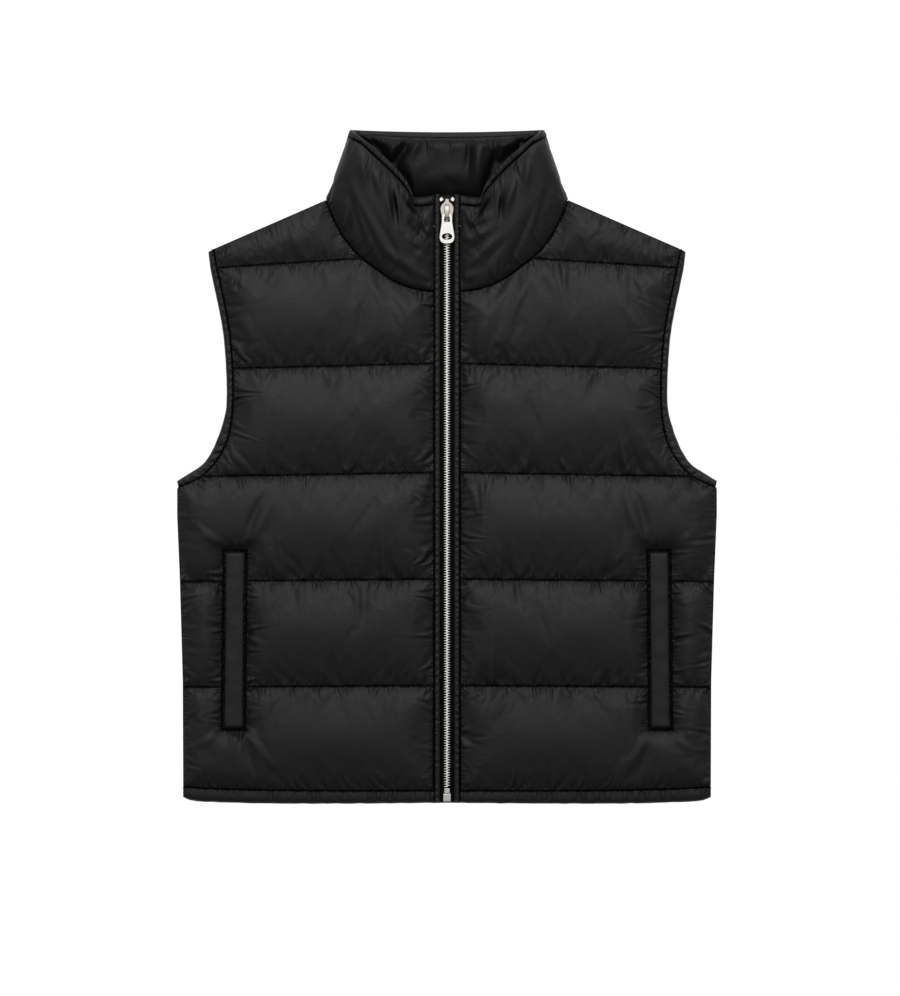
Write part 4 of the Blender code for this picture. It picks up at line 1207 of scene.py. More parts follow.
collar_slack *= COLLAR_SLACK_MIDDLE + SLACK_SWING * uneven(grid_place, COLLAR_SLACK_WAVE, 21)
let_swell(collar, collar_held.ravel(), collar_slack, COLLAR_PRESSURE)
print("collar:", columns, "columns of", ring, "points")

# %% [markdown]
# ## Blowing up
#
# One run of the clock serves every padded piece. How far a point may move from its start is capped, so
# that no fold runs away, and the result is written into the mesh.

# %% Run the simulation
MOST_MOVE = 9.0
shapes = {}
for number in range(1, FRAMES + 1):
    bpy.context.scene.frame_set(number)
for piece in padded_pieces:
    start = points_of(piece.data)
    move = swollen(piece) - start
    far = np.linalg.norm(move, axis=1)
    shapes[piece.name] = start + move * np.minimum(1.0, MOST_MOVE / np.maximum(far, 1e-9))[:, None]
    print(f"{piece.name}: moved {far.mean():.2f} mm on average and {far.max():.2f} at most,"
          f" highest point {shapes[piece.name][:, 2].max():.1f}")
for piece in padded_pieces:
    piece.modifiers.clear()
bpy.context.scene.frame_set(1)


# %% Close the panels
LEAST_SEAM_SHARE = 0.5


def creased(data, pairs):
    """Mark the edges between pairs of points as sharp creases for the subdivision."""
    wanted = {tuple(sorted(map(int, pair))) for pair in pairs}
    crease = data.attributes.new("crease_edge", "FLOAT", "EDGE")
    keys = [tuple(sorted(edge.vertices)) for edge in data.edges]
    crease.data.foreach_set("value", [1.0 if key in wanted else 0.0 for key in keys])


def close_panel(panel, node, face_down):
    """The finished panel: its swollen outer sheet, a wall round its edge and a flat inner face."""
    name = panel["piece"].name
    rim = panel["rim"]
    ring = [(k, (k + 1) % rim) for k in range(rim)]
    sheet, triangles, held, middles = finer(shapes[name], panel["triangles"], panel["links"], panel["held"])
    sheet[~held, 2] += panel_gathers(sheet[~held, :2], panel["border"], panel["loops"], panel["seed"] * 40)
    sheet[:, 2] = np.maximum(sheet[:, 2], SEAM_THICK * LEAST_SEAM_SHARE)
    order = [spot for i, j in ring for spot in (i, middles[min(i, j), max(i, j)])]
    edge = sheet[order, :2]
    links = [(k, (k + 1) % len(order)) for k in range(len(order))]
    inner = triangulated(edge, links)[1]
    inner = inner[inside(edge[inner].mean(1), edge)] + len(sheet)
    wall = [(len(sheet) + i, len(sheet) + j, order[j], order[i]) for i, j in links]
    points = np.vstack([sheet, np.column_stack([edge, np.zeros(len(edge))])])
    if face_down:
        points[:, 2] = np.maximum(BACK_INSIDE - points[:, 2], 0.0)
    else:
        points[:, 2] += FRONT_INSIDE
    bpy.data.objects.remove(panel["piece"])
    piece = piece_from(name, points, [*triangles, *inner[:, ::-1], *wall], SHELL)
    seamed(piece, *panel_seams(points[:, :2], panel["border"], panel["loops"]))
    panel["points"] = points
    wear(piece, "shell_cloth", node)
    print(f"{name}: {len(piece.data.polygons)} faces, highest point {points[:, 2].max():.1f}")


for name, panel in panels.items():
    close_panel(panel, name, face_down=name == "back")

# %% The finished collar
RIM_FROM = 0.93
RIM_RISE = 2.4
RIM_TURN = (150.0, 30.0)
collar_shape = shapes["stand_collar"].reshape(columns, ring, 3)
collar_shape[:, :len(COLLAR_OUT)] += collar_puckers(collar_shape[:, :len(COLLAR_OUT)])
half_turn = np.clip((np.array([angle for _, angle in STATIONS]) - RIM_TURN[0]) / RIM_TURN[1], 0.0, 1.0)
on_back = both_halves(half_turn)
rim_share = np.clip((COLLAR_RING - RIM_FROM) / (1.0 - RIM_FROM), 0.0, 1.0)
collar_shape[:, :, 2] += RIM_RISE * on_back[:, None] * rim_share
collar_shape[:, :, 2] = np.maximum(collar_shape[:, :, 2], 0.0)
bpy.data.objects.remove(collar)
collar = bar_piece("stand_collar", collar_shape, SHELL)
collar_run = lengths_along(collar_shape[:, ring // 3])[:, None]
collar_up = COLLAR_RING * COLLAR_HEIGHT
band_off = collar_up - BAND_SHARE * COLLAR_HEIGHT
seamed(collar, collar_run, np.minimum(np.abs(band_off), collar_up),
       np.where(np.abs(band_off) < collar_up, band_off, collar_up + THIN_LINE))
# Painted shade in the collar's creases, kept off the back half and off the rim beyond the band.
shade = crease_shade(collar_shape[:, :, 0], collar_shape[:, :, 1])
shade[on_back > 0.0] = 0.0
shade[:, BAND_ROW + 1:] = 0.0
painted_crease_shade = collar.data.attributes.new("painted_crease_shade", "FLOAT", "POINT")
painted_crease_shade.data.foreach_set("value", shade.astype(np.float32).ravel())
creased(collar.data, [(i * ring + row, (i + 1) * ring + row) for i in range(columns - 1)
                      for row in (0, BAND_ROW, ring - 1)])
rounder = collar.modifiers.new("rounder", "SUBSURF")
rounder.levels = 1
rounder.render_levels = 1
wear(collar, "shell_cloth", "collar")
print("collar: creases on", int((shade > 0.3).sum()), "points")

# %% [markdown]
# ## Bound and turned edges
#
# The armholes are bound with a narrow folded strip, the hem is turned up and stitched, and a folded
# placket runs down each side of the zip. Each is a strip of cloth folded over an edge: a small rounded
# section swept between two rails. The sewing gathers these strips, so their height and their free edge
# waver along the run, with no two puckers alike.


# %% A strip swept between two rails
SMOOTH_TURN = 0.9


def curved(path):
    """The path with three smooth points added on each leg, except that sharp corners stay sharp."""
    path = np.asarray(path, float)
    legs = np.diff(path, axis=0)
    sizes = np.linalg.norm(legs, axis=1)
    heading = legs / sizes[:, None]
    result = [path[:1]]
    for k, size in enumerate(sizes):
        leave = heading[k] + (heading[k - 1] if k and heading[k] @ heading[k - 1] > SMOOTH_TURN else 0.0)
        bends = k + 1 < len(sizes) and heading[k] @ heading[k + 1] > SMOOTH_TURN
        arrive = heading[k] + (heading[k + 1] if bends else 0.0)
        leave *= size / np.linalg.norm(leave)
        arrive *= size / np.linalg.norm(arrive)
        for t in (0.25, 0.5, 0.75, 1.0):
            result.append(smooth_leg(path[k], path[k + 1], leave, arrive, t)[None])
    return np.vstack(result)


def paired(one, other, step):
    """Both rails with their points a step apart along the first."""
    run = lengths_along(one)
    spots = np.linspace(0.0, run[-1], round(run[-1] / step) + 1)
    return [points_at(rail, run, spots) for rail in (one, other)]


FOLDED_EDGE = (
    # share of the width, height
    (-0.09, 0.0),
    (-0.09, 3.4),
    (0.0, 4.7),
    (0.07, 5.1),
    (0.16, 5.35),
    (0.3, 5.6),
    (0.5, 5.7),
    (0.7, 5.45),
    (0.86, 4.6),
    (0.96, 3.4),
    (1.0, 2.2),
    (0.99, 0.9),
    (0.95, 0.0),
)
STRIP_STEP = 1.7
STITCH_SHARE = 0.13
STITCH_PROUD = 0.1
PUCKER_START = 0.15
SWAY = 0.012
STRIP_CALM = 2.0
GATHER_SLANT = 0.6


def strip(name, stitched, free, base, up, profile, wave, pucker, seed):
    """Strip puckered along its run, the row of points for its stitches, and its flat cut."""
    stitched, free = paired(stitched, free, STRIP_STEP)
    run = lengths_along(stitched)
    gather = uneven(run, wave, seed)
    sway = uneven(run, wave * 2.2, seed + 1)
    sections = []
    for share, height in profile:
        lift = 1.0 + pucker * gather * math.sin(math.pi * min(share + PUCKER_START, 1.0))
        push = share * (1.0 + SWAY * sway * share)
        place = between(stitched, free, push[:, None])
        sections.append(np.column_stack([place, base + up * height * lift]))
    sections = np.stack(sections, axis=1)
    piece = bar_piece(name, sections, SHELL)
    width = np.linalg.norm(free - stitched, axis=1)[:, None]
    away = np.maximum(np.array([share for share, _ in profile]), 0.0) * width
    slanted = run[:, None] + GATHER_SLANT * away + SEAM_APART * seed
    seamed(piece, slanted, away + STRIP_CALM, away + THIN_LINE)
    rise = np.interp(STITCH_SHARE, *np.array(profile[1:-2]).T) + STITCH_PROUD
    lift = 1.0 + pucker * gather * math.sin(math.pi * (STITCH_SHARE + PUCKER_START))
    top = np.column_stack([between(stitched, free, STITCH_SHARE), base + up * rise * lift])
    return piece, top, cut_of(sections)


def sewn_first(one, other, border):
    """The two rails, with the one next to a panel's border first."""
    reach = [distance(rail, closed(border)).mean() for rail in (one, other)]
    return (one, other) if reach[0] < reach[1] else (other, one)


# %% Armhole bindings and hems
BINDING_PUCKERS = (8.0, 0.09)
FRONT_HEM_PUCKERS = (9.0, 0.15)
BACK_HEM_PUCKERS = (11.0, 0.12)
PLACKET_PUCKERS = (6.0, 0.18)
stitch_rows = []


def edge_strip(name, node, border, base, up, wave, pucker, seed):
    """Strip that stands for one bound or turned edge of the solid model."""
    one, other = sewn_first(*rails(node, base), border)
    piece, top, cut = strip(name, curved(one), curved(other), base, up, FOLDED_EDGE, wave, pucker, seed)
    stitch_rows.append(top)
    wear(piece, "shell_cloth", node)


for number, side in enumerate(SIDES):
    edge_strip(f"armhole_binding_front_{side}", f"armhole_front_{side}", FRONT_EDGE[side],
               FRONT_INSIDE, 1.0, *BINDING_PUCKERS, 31 + number)
    edge_strip(f"armhole_binding_back_{side}", f"armhole_back_{side}", BACK_EDGE,
               BACK_INSIDE, -1.0, *BINDING_PUCKERS, 41 + number)
    edge_strip(f"turned_hem_front_{side}", f"hem_front_{side}", FRONT_EDGE[side],
               FRONT_INSIDE, 1.0, *FRONT_HEM_PUCKERS, 51 + number)
edge_strip("turned_hem_back", "hem_back", BACK_EDGE, BACK_INSIDE, -1.0, *BACK_HEM_PUCKERS, 61)
print("bound and turned edges:", len(stitch_rows))

# %% Plackets
PLACKET_SECTION = (
    # share of the width from the seam to the zip, height
    (0.0, 0.0),
    (0.0, 1.3),
    (0.06, 2.2),
    (0.18, 2.75),
    (0.4, 3.0),
    (0.65, 3.0),
    (0.84, 2.75),
    (0.96, 2.1),
    (1.0, 1.2),
    (1.0, 0.0),
)
PLACKET_STITCH_SHARE = 0.16
PLACKET_STITCH_INSET = 1.5
PLACKET_STITCH_UP = 2.75
PLACKET_STITCH_STEP = 3.0
for number, (side, outward) in enumerate(SIDES.items()):
    low, high = box_mm(f"placket_{side}")
    seam_x, zip_x = (high[0], low[0]) if outward > 0.0 else (low[0], high[0])
    seam, fold = (np.array([(x, low[1]), (x, high[1])]) for x in (seam_x, zip_x))
    placket, _, cut = strip(f"zip_placket_{side}", seam, fold, low[2], 1.0, PLACKET_SECTION,
                            *PLACKET_PUCKERS, 71 + number)
    wear(placket, "shell_cloth", f"placket_{side}")
    stitch_x = between(seam_x, zip_x, PLACKET_STITCH_SHARE)
    ends = (low[1] + PLACKET_STITCH_INSET, high[1] - PLACKET_STITCH_INSET)
    stitch_row = [(stitch_x, y, low[2] + PLACKET_STITCH_UP) for y in ends]
    stitch_rows.append(even(stitch_row, PLACKET_STITCH_STEP))
print("cut of a placket:", np.round(cut, 3))

# %% [markdown]
# ## Pocket welts
#
# Each pocket is an upright slot covered by a welt, a padded strip a little wider than a finger. It is
# sewn down with two rows of stitches, one on its own edge and one on the frame round it. Its top stays
# nearly flat, with a few shallow cross creases.


# %% Welts
WELT_SECTION = (
    # share of the half width, share of the thickness
    (-1.0, 0.0),
    (-1.0, 0.45),
    (-0.94, 0.8),
    (-0.84, 0.86),
    (-0.68, 1.0),
    (-0.35, 1.05),
    (0.0, 1.06),
    (0.35, 1.05),
    (0.68, 1.0),
    (0.84, 0.86),
    (0.94, 0.8),
    (1.0, 0.45),
    (1.0, 0.0),
)
WELT_STEP = 1.6
WELT_CALM = 6.0
WELT_WIDER = 0.5
WELT_END = (0.35, 4.0)
WELT_WRINKLES = (24.0, 0.06)
WELT_SWAY = (20.0, 0.012)
WELT_STITCH_SHARE = 0.89
WELT_STITCH_INSET = 1.6
WELT_STITCH_UP = 0.86


def welt_piece(side, seed):
    """Padded welt over one pocket, leaning as its solid does, and the stitches that hold it."""
    low, high = box_mm(f"pocket_welt_{side}")
    centre = (low[0] + high[0]) / 2
    lean = SIDES[side] * POCKET_LEAN
    half = (high[0] - low[0]) / 2 - POCKET_LEAN + WELT_WIDER
    run = np.linspace(low[1], high[1], round((high[1] - low[1]) / WELT_STEP) + 1)
    middle = np.interp(run, (low[1], high[1]), (centre + lean, centre - lean))
    ends = puff(np.minimum(run - low[1], high[1] - run) + WELT_END[0], WELT_END[1])
    sway = 1 + WELT_SWAY[1] * uneven(run, WELT_SWAY[0], seed + 3)
    sections = []
    for across, up in WELT_SECTION:
        place = np.column_stack([np.full(len(run), across * half * 2.0), run])
        wrinkle = WELT_WRINKLES[1] * uneven(place, WELT_WRINKLES[0], seed)
        thick = (high[2] - low[2]) * up * (ends + wrinkle * (1 - abs(across) ** 3) * ends)
        sections.append(np.column_stack([middle + across * half * sway, run, low[2] + thick]))
    welt = bar_piece(f"pocket_cover_{side}", np.stack(sections, axis=1), SHELL)
    away = (1.0 - np.abs([across for across, _ in WELT_SECTION])) * half
    seamed(welt, run[:, None] + SEAM_APART * seed, away + WELT_CALM, away + THIN_LINE)
    wear(welt, "shell_cloth", f"pocket_welt_{side}")
    inset = WELT_STITCH_SHARE * half
    base, top = low[1] + WELT_STITCH_INSET, high[1] - WELT_STITCH_INSET
    on_welt = np.array([(middle[0] - inset, base), (middle[0] + inset, base),
                        (middle[-1] + inset, top), (middle[-1] - inset, top)])
    for corners, height in ((on_welt, between(low[2], high[2], WELT_STITCH_UP)),
                            (pocket_frame(side), FRONT_INSIDE + SEAM_THICK + STITCH_PROUD)):
        loop = closed(corners)
        stitch_rows.append(np.column_stack([loop, np.full(len(loop), height)]))
    print(f"{welt.name}: {2 * half:.1f} wide and {high[1] - low[1]:.1f} long")


for number, side in enumerate(SIDES):
    welt_piece(side, 81 + number)

# %% [markdown]
# ## The lining inside the collar
#
# Through the neck opening the inside of the back collar shows. It is lined with plain satin that is not
# quilted, so it rises off the collar in the middle and falls into a few large loose folds. Those are
# listed in a table, because where each one lies is what makes the view into the neck look right.
# Under the front ends of the collar the lining is kept down, so that nothing cuts through it.

# %% Lining
LINING_SHARES = np.linspace(0.14, 0.945, 42)
LINING_THICK = 1.2
LINING_LOFT = 8.0
LINING_LOFT_POWER = 1.5
LINING_LEDGE = 22.0
LINING_CLEAR = 1.0
LINING_COVER = 3.0
LINING_LOW_FADE = 0.5
LINING_TOP_FADE = 0.12
LINING_FOLDS = (
    # x, y, angle in degrees, length, width, height
    (-70.0, 317.0, -50.0, 26.0, 6.0, -4.0),
    (-57.0, 313.0, 60.0, 34.0, 4.5, 4.5),
    (-46.0, 312.0, 58.0, 40.0, 4.5, -5.5),
    (-33.0, 318.0, 66.0, 26.0, 5.0, 2.0),
    (-28.0, 300.0, 40.0, 34.0, 9.0, 1.2),
    (-6.0, 288.0, 16.0, 34.0, 8.0, 0.9),
    (5.0, 282.0, -34.0, 28.0, 6.0, -1.2),
    (-12.0, 322.0, -64.0, 22.0, 4.0, 0.8),
    (8.0, 324.0, 70.0, 20.0, 4.0, 0.8),
    (22.0, 312.0, 84.0, 30.0, 3.0, -2.8),
    (31.0, 303.0, 86.0, 46.0, 7.0, 4.8),
    (46.5, 300.0, 82.0, 46.0, 4.2, -6.5),
    (56.0, 321.0, 20.0, 22.0, 4.5, 3.0),
    (60.0, 306.0, 40.0, 26.0, 6.0, -3.5),
    (74.0, 322.0, -60.0, 20.0, 4.0, -3.5),
)
LINING_GATHERS = (9.0, 4.0, 0.9)
LINING_COLUMNS = np.linspace(-0.97, 0.97, 110)


def lining_rise(column, spot):
    """How far one column of the lining stands off the collar."""
    x, y = column[:, 0], column[:, 1]
    fade = puff(LINING_SHARES - LINING_SHARES[0], LINING_LOW_FADE)
    fade *= puff(LINING_SHARES[-1] - LINING_SHARES, LINING_TOP_FADE)
    clear = y - along(FRONT_COLLAR_TOP, np.abs(x))
    loft = LINING_LOFT * puff(np.maximum(clear, 0.0), LINING_LEDGE) ** LINING_LOFT_POWER
    lift = (loft + fold_height(x, y, LINING_FOLDS)) * fade
    lift = np.maximum(lift + gathers(y[-1] - y, x, 401, *LINING_GATHERS) * fade, 0.0)
    room = front_inside_z(LINING_SHARES, abs(spot)) - back_inside_z(LINING_SHARES)
    room = room - LINING_THICK - LINING_CLEAR
    return np.where(clear < LINING_COVER, np.minimum(lift, room), lift)


lining_sections = []
for spot in LINING_COLUMNS:
    column = collar_column(abs(spot), 180.0, LINING_SHARES, np.zeros(len(LINING_SHARES)))
    column[:, 0] *= math.copysign(1.0, spot)
    column[:, 2] += SEAM_GAP + lining_rise(column, spot)
    lining_sections.append(np.vstack([column, column[::-1] + (0.0, 0.0, LINING_THICK)]))
lining_grid = np.array(lining_sections)
lining = bar_piece("neck_lining", lining_grid, LINING)
lining_down = (LINING_SHARES[-1] - np.concatenate([LINING_SHARES, LINING_SHARES[::-1]])) * COLLAR_HEIGHT
seamed(lining, lining_grid[:, :, 0], lining_down, lining_down + FAR)
wear(lining, "lining_cloth", "collar_lining")

# %% [markdown]
# ## The zip
#
# A metal zip is two woven tapes with a corded edge, and teeth clamped on each cord so that they mesh. The
# teeth repeat hundreds of times at one spacing, which suits Geometry Nodes: one modelled tooth is set on
# a line of points, once for each side, and the second side starts half a step later.


# %% Tapes
TAPE_BEAD = 0.95
TAPE_HALF = 0.4
TAPE_OUT = 9.0
TAPE_ROWS = 260
CHAIN_LOW, CHAIN_HIGH = box_mm("zip_chain")
ZIP_Z = (CHAIN_LOW[2] + CHAIN_HIGH[2]) / 2
TAPE_SECTION = (
    # distance from the inner edge, height over the zip's middle
    (0.0, 0.0),
    (0.28, 0.67),
    (0.95, TAPE_BEAD),
    (1.62, 0.67),
    (2.1, TAPE_HALF),
    (TAPE_OUT, TAPE_HALF),
    (TAPE_OUT, -TAPE_HALF),
    (2.1, -TAPE_HALF),
    (1.62, -0.67),
    (0.95, -TAPE_BEAD),
    (0.28, -0.67),
)


def tape_piece(side):
    """One woven tape with its corded edge, turning away at the top."""
    low, high = box_mm(f"zip_tape_{side}")
    beside = CHAIN_HIGH[0] + SEAM_GAP
    outer = max(abs(low[0]), abs(high[0]))
    edge = (
        # y, distance of the inner edge from the zip's middle
        (low[1], 4.3),
        (-327.1, 4.3),
        (-321.5, beside),
        (CHAIN_HIGH[1], beside),
        (265.4, 7.2),
        (268.6, 7.2),
        (high[1], 9.0),
    )
    run = np.linspace(low[1], high[1], TAPE_ROWS)
    inner = np.interp(run, *np.array(edge).T)
    sections = []
    for reach, rise in TAPE_SECTION:
        x = np.minimum(inner + reach, outer) if reach < TAPE_OUT else np.full(len(run), outer)
        sections.append(np.column_stack([SIDES[side] * x, run, np.full(len(run), ZIP_Z + rise)]))
    sections = np.stack(sections, axis=1)
    tape = bar_piece(f"woven_tape_{side}", sections, TAPE)
    wear(tape, "zip_tape", f"zip_tape_{side}")
    print(f"{tape.name}: cut", np.round(cut_of(sections), 3))


for side in SIDES:
    tape_piece(side)


# %% A Geometry Nodes tree and what it makes
def new_tree(name, sizes):
    """Geometry tree, the outputs of its input node with named sizes, and its output node."""
    tree = bpy.data.node_groups.new(name, "GeometryNodeTree")
    tree.interface.new_socket("Geometry", in_out="OUTPUT", socket_type="NodeSocketGeometry")
    tree.interface.new_socket("Geometry", in_out="INPUT", socket_type="NodeSocketGeometry")
    for label, kind in sizes:
        tree.interface.new_socket(label, in_out="INPUT", socket_type=f"NodeSocket{kind}")
    return tree, tree.nodes.new("NodeGroupInput").outputs, tree.nodes.new("NodeGroupOutput")


def finish_tree(tree, geometry, leave, material):
    """End a tree with real geometry, smooth faces and one material."""
    real = made(tree, "GeometryNodeRealizeInstances", {0: geometry})
    smooth = made(tree, "GeometryNodeSetShadeSmooth", {"Geometry": real})
    painted = made(tree, "GeometryNodeSetMaterial", {"Geometry": smooth, "Material": material})
    filled(tree, leave, {0: painted})


def grown(carrier, tree, name, sizes):
    """Plain mesh piece of what a tree makes from a carrier object, which is then removed."""
    modifier = carrier.modifiers.new(tree.name, "NODES")
    modifier.node_group = tree
    for item in tree.interface.items_tree:
        if item.in_out == "INPUT" and item.name in sizes:
            modifier[item.identifier] = sizes[item.name]
    graph = bpy.context.evaluated_depsgraph_get()
    data = bpy.data.meshes.new_from_object(carrier.evaluated_get(graph), depsgraph=graph)
    bpy.data.objects.remove(carrier)
    data.name = name
    print(f"{name}: {len(data.polygons)} faces")
    return placed(name, data)


# %% Teeth
TOOTH_PITCH = 2.56
TOOTH_SECTION_HALF = (
    # x from the zip's middle, half width along the zip, half height
    (-3.25, 0.46, 1.2),
    (-3.1, 0.52, 1.5),
    (-1.3, 0.5, 1.5),
    (-1.05, 0.6, 1.5),
    (0.9, 0.6, 1.5),
    (1.05, 0.56, 1.35),
    (1.2, 0.4, 0.9),
)
ROUND_CORNERS = ((1.0, 0.82), (0.8, 1.0), (-0.8, 1.0), (-1.0, 0.82),
                 (-1.0, -0.8), (-0.8, -1.0), (0.8, -1.0), (1.0, -0.8))


def tooth(outward):
    """One tooth clamped on the cord of its tape, with its head past the zip's middle."""
    sections = np.array([[(-outward * x, across * half_y, up * half_z) for across, up in ROUND_CORNERS]
                         for x, half_y, half_z in TOOTH_SECTION_HALF])
    return bar_piece("tooth", sections, TOOTH_NICKEL)


def teeth_tree():
    """A line of teeth: how many, where the first is, and the step between two."""
    sizes = (("Count", "Int"), ("First", "Vector"), ("Step", "Vector"))
    tree, given, leave = new_tree("row of teeth", sizes)
    inputs = {"Count": given["Count"], "Start Location": given["First"], "Offset": given["Step"]}
    line = made(tree, "GeometryNodeMeshLine", inputs, mode="OFFSET")
    place = made(tree, "GeometryNodeInstanceOnPoints", {"Points": line, "Instance": given["Geometry"]})
    finish_tree(tree, place, leave, TOOTH_NICKEL)
    return tree


TEETH = teeth_tree()
tooth_count = int((CHAIN_HIGH[1] - CHAIN_LOW[1] - TOOTH_PITCH) / TOOTH_PITCH)
for (side, outward), late in zip(SIDES.items(), (0.0, 0.5)):
    first = (0.0, (CHAIN_LOW[1] + TOOTH_PITCH * (0.5 + late)) * MM, ZIP_Z * MM)
    teeth = grown(tooth(outward), TEETH, f"zip_teeth_{side}",
                  {"Count": tooth_count, "First": first, "Step": (0.0, TOOTH_PITCH * MM, 0.0)})
    wear(teeth, "nickel", *(("zip_chain",) if side == "left" else ()))

# %% [markdown]
# ## Slider, pull tab and end pieces
#
# The slider is two plates joined by a post, with a bridge over the upper one. The pull tab hangs on the
# bridge by the crossbar of its slot and swings up and over. These are stamped and cast pieces, so each
# is a flat outline given its thickness, with its edges rounded by a Bevel modifier.


# %% Stamped and cast metal
SHARP_ANGLE = math.radians(35.0)


def metal_piece(name, mesh, axis, reach, round_edge, metal):
    """Object of a flat bmesh that is extruded along an axis as far as reach, its sharp edges rounded."""
    for item in bmesh.ops.extrude_face_region(mesh, geom=list(mesh.faces))["geom"]:
        if isinstance(item, bmesh.types.BMVert):
            item.co[axis] = reach * MM
    bmesh.ops.recalc_face_normals(mesh, faces=mesh.faces)
    data = bpy.data.meshes.new(name)
    mesh.to_mesh(data)
    mesh.free()
    data.materials.append(metal)
    data.shade_smooth()
    data.set_sharp_from_angle(angle=SHARP_ANGLE)
    piece = placed(name, data)
    bevel = piece.modifiers.new("rounded edges", "BEVEL")
    bevel.width = round_edge * MM
    bevel.segments = 2
    bevel.limit_method = "ANGLE"
    bevel.angle_limit = SHARP_ANGLE
    bevel.harden_normals = True
    return piece


def stamped(name, outline, low, high, holes=(), round_edge=0.35, metal=NICKEL):
    """Plate of an outline in plan with holes through it and rounded edges."""
    mesh = bmesh.new()
    edges = []
    for loop in (outline, *holes):
        verts = [mesh.verts.new((x * MM, y * MM, low * MM)) for x, y in loop]
        edges += [mesh.edges.new((a, b)) for a, b in zip(verts, [*verts[1:], verts[0]])]
    bmesh.ops.triangle_fill(mesh, edges=edges, use_beauty=True)
    return metal_piece(name, mesh, 2, high, round_edge, metal)


def across(name, profile, half_width, round_edge):
    """Cast bar of a closed (y, z) profile, as wide as twice half_width across the zip."""
    mesh = bmesh.new()
    mesh.faces.new([mesh.verts.new((-half_width * MM, y * MM, z * MM)) for y, z in profile])
    return metal_piece(name, mesh, 0, half_width, round_edge, CAST_NICKEL)


def both_sides(rows):
    """Closed outline from (half width, y) rows down one side, with smooth points between them."""
    half_outline = curved(rows)
    return np.vstack([half_outline, half_outline[::-1] * (-1.0, 1.0)])


def one_piece(name, parts):
    """Several metal parts as one plain mesh."""
    graph = bpy.context.evaluated_depsgraph_get()
    mesh = bmesh.new()
    metal = parts[0].data.materials[0]
    for part in parts:
        mesh.from_mesh(bpy.data.meshes.new_from_object(part.evaluated_get(graph), depsgraph=graph))
        bpy.data.objects.remove(part)
    data = bpy.data.meshes.new(name)
    mesh.to_mesh(data)
    mesh.free()
    data.materials.append(metal)
    print(f"{name}: {len(data.polygons)} faces")
    return placed(name, data)


# %% The slider
SLIDER_HALF = (
    # half_width, y
    (1.0, 267.6),
    (1.7, 266.9),
    (1.9, 265.0),
    (3.3, 263.5),
    (5.0, 262.0),
    (6.1, 259.6),
    (6.4, 257.4),
    (6.0, 254.6),
    (5.3, 251.5),
    (4.8, 247.6),
)
PLATE_THICK = 1.4
PLATE_CLEAR = 1.7
BRIDGE_RISE = 4.9
BRIDGE_HALF = 2.15
POST_HALF = ((0.7, 266.2), (1.4, 265.0), (1.2, 262.8))
POST_SUNK = 0.3
upper = ZIP_Z + PLATE_CLEAR
lower = ZIP_Z - PLATE_CLEAR
plate_outline = both_sides(SLIDER_HALF)
bridge_top = upper + PLATE_THICK + BRIDGE_RISE
BRIDGE = (
    # y, z
    (247.7, upper + 1.0),
    (249.5, upper + 1.0),
    (249.5, upper + 4.0),
    (250.3, bridge_top - 1.6),
    (259.4, bridge_top - 1.6),
    (260.2, upper + 4.0),
    (260.2, upper + 1.0),
    (262.4, upper + 1.0),
    (262.4, bridge_top - 2.4),
    (260.6, bridge_top - 0.5),
    (259.0, bridge_top),
    (250.2, bridge_top),
    (248.4, bridge_top - 0.6),
    (247.7, bridge_top - 2.2),
)
slider = one_piece("zip_slider", [
    stamped("upper plate", plate_outline, upper, upper + PLATE_THICK, (), 0.5, CAST_NICKEL),
    stamped("lower plate", plate_outline, lower - PLATE_THICK, lower, (), 0.5, CAST_NICKEL),
    stamped("post", both_sides(POST_HALF), lower - POST_SUNK, upper + POST_SUNK),
    across("bridge", BRIDGE, BRIDGE_HALF, 0.5),
])
wear(slider, "nickel", "slider")

# %% The pull tab
TAB_LOW, TAB_HIGH = box_mm("pull_tab")
TAB_HALF = (
    # half_width, y
    (3.2, 252.5),
    (4.4, 252.1),
    (4.9, 251.0),
    (5.2, 244.5),
    (6.4, 236.5),
    (7.3, 230.5),
    (7.2, 228.0),
    (6.3, 225.5),
    (4.6, 223.8),
    (2.3, 223.2),
)
SLOT_HALF = (
    # half_width, y
    (2.2, 250.2),
    (2.95, 249.4),
    (2.95, 245.4),
    (2.2, 244.5),
)
OVAL_Y = 230.0
OVAL_HALF = (5.2, 3.4)
turns = np.linspace(0.0, math.tau, 32, endpoint=False)
oval = np.column_stack([OVAL_HALF[0] * np.cos(turns), OVAL_Y + OVAL_HALF[1] * np.sin(turns)])
tab = one_piece("swinging_tab", [
    stamped("tab plate", both_sides(TAB_HALF), TAB_LOW[2], TAB_HIGH[2], (both_sides(SLOT_HALF), oval), 0.4),
])
wear(tab, "nickel", "pull_tab", body=TAB)

# %% Stops, pin and box
STOP_HALF = 1.9
STOP_LEAN = 32.0
for side, outward in SIDES.items():
    low, high = box_mm(f"top_stop_{side}")
    turn = np.radians((45.0, 135.0, 225.0, 315.0)) - math.radians(outward * STOP_LEAN)
    reach = STOP_HALF * math.sqrt(2.0)
    corners = (low[:2] + high[:2]) / 2 + reach * np.column_stack([np.cos(turn), np.sin(turn)])
    stop = stamped(f"end_stop_{side}", corners, low[2], high[2], (), 0.5)
    wear(one_piece(f"zip_stop_{side}", [stop]), "nickel", f"top_stop_{side}")
for name, node, round_edge in (("zip_pin", "insertion_pin", 0.7), ("zip_box", "retainer_box", 0.8)):
    low, high = box_mm(node)
    corners = [(low[0], low[1]), (high[0], low[1]), (high[0], high[1]), (low[0], high[1])]
    bar = stamped(f"{name} blank", corners, low[2], high[2], (), round_edge)
    wear(one_piece(name, [bar]), "nickel", node)

# %% [markdown]
# ## Sewing
#
# Every line of sewing is a row of short threads that sink into the cloth at both ends. Geometry Nodes
# make them all: a tree turns each row into a curve, puts points on it one stitch apart and sets a small
# pointed capsule on every point, turned along the row and a little uneven in length.


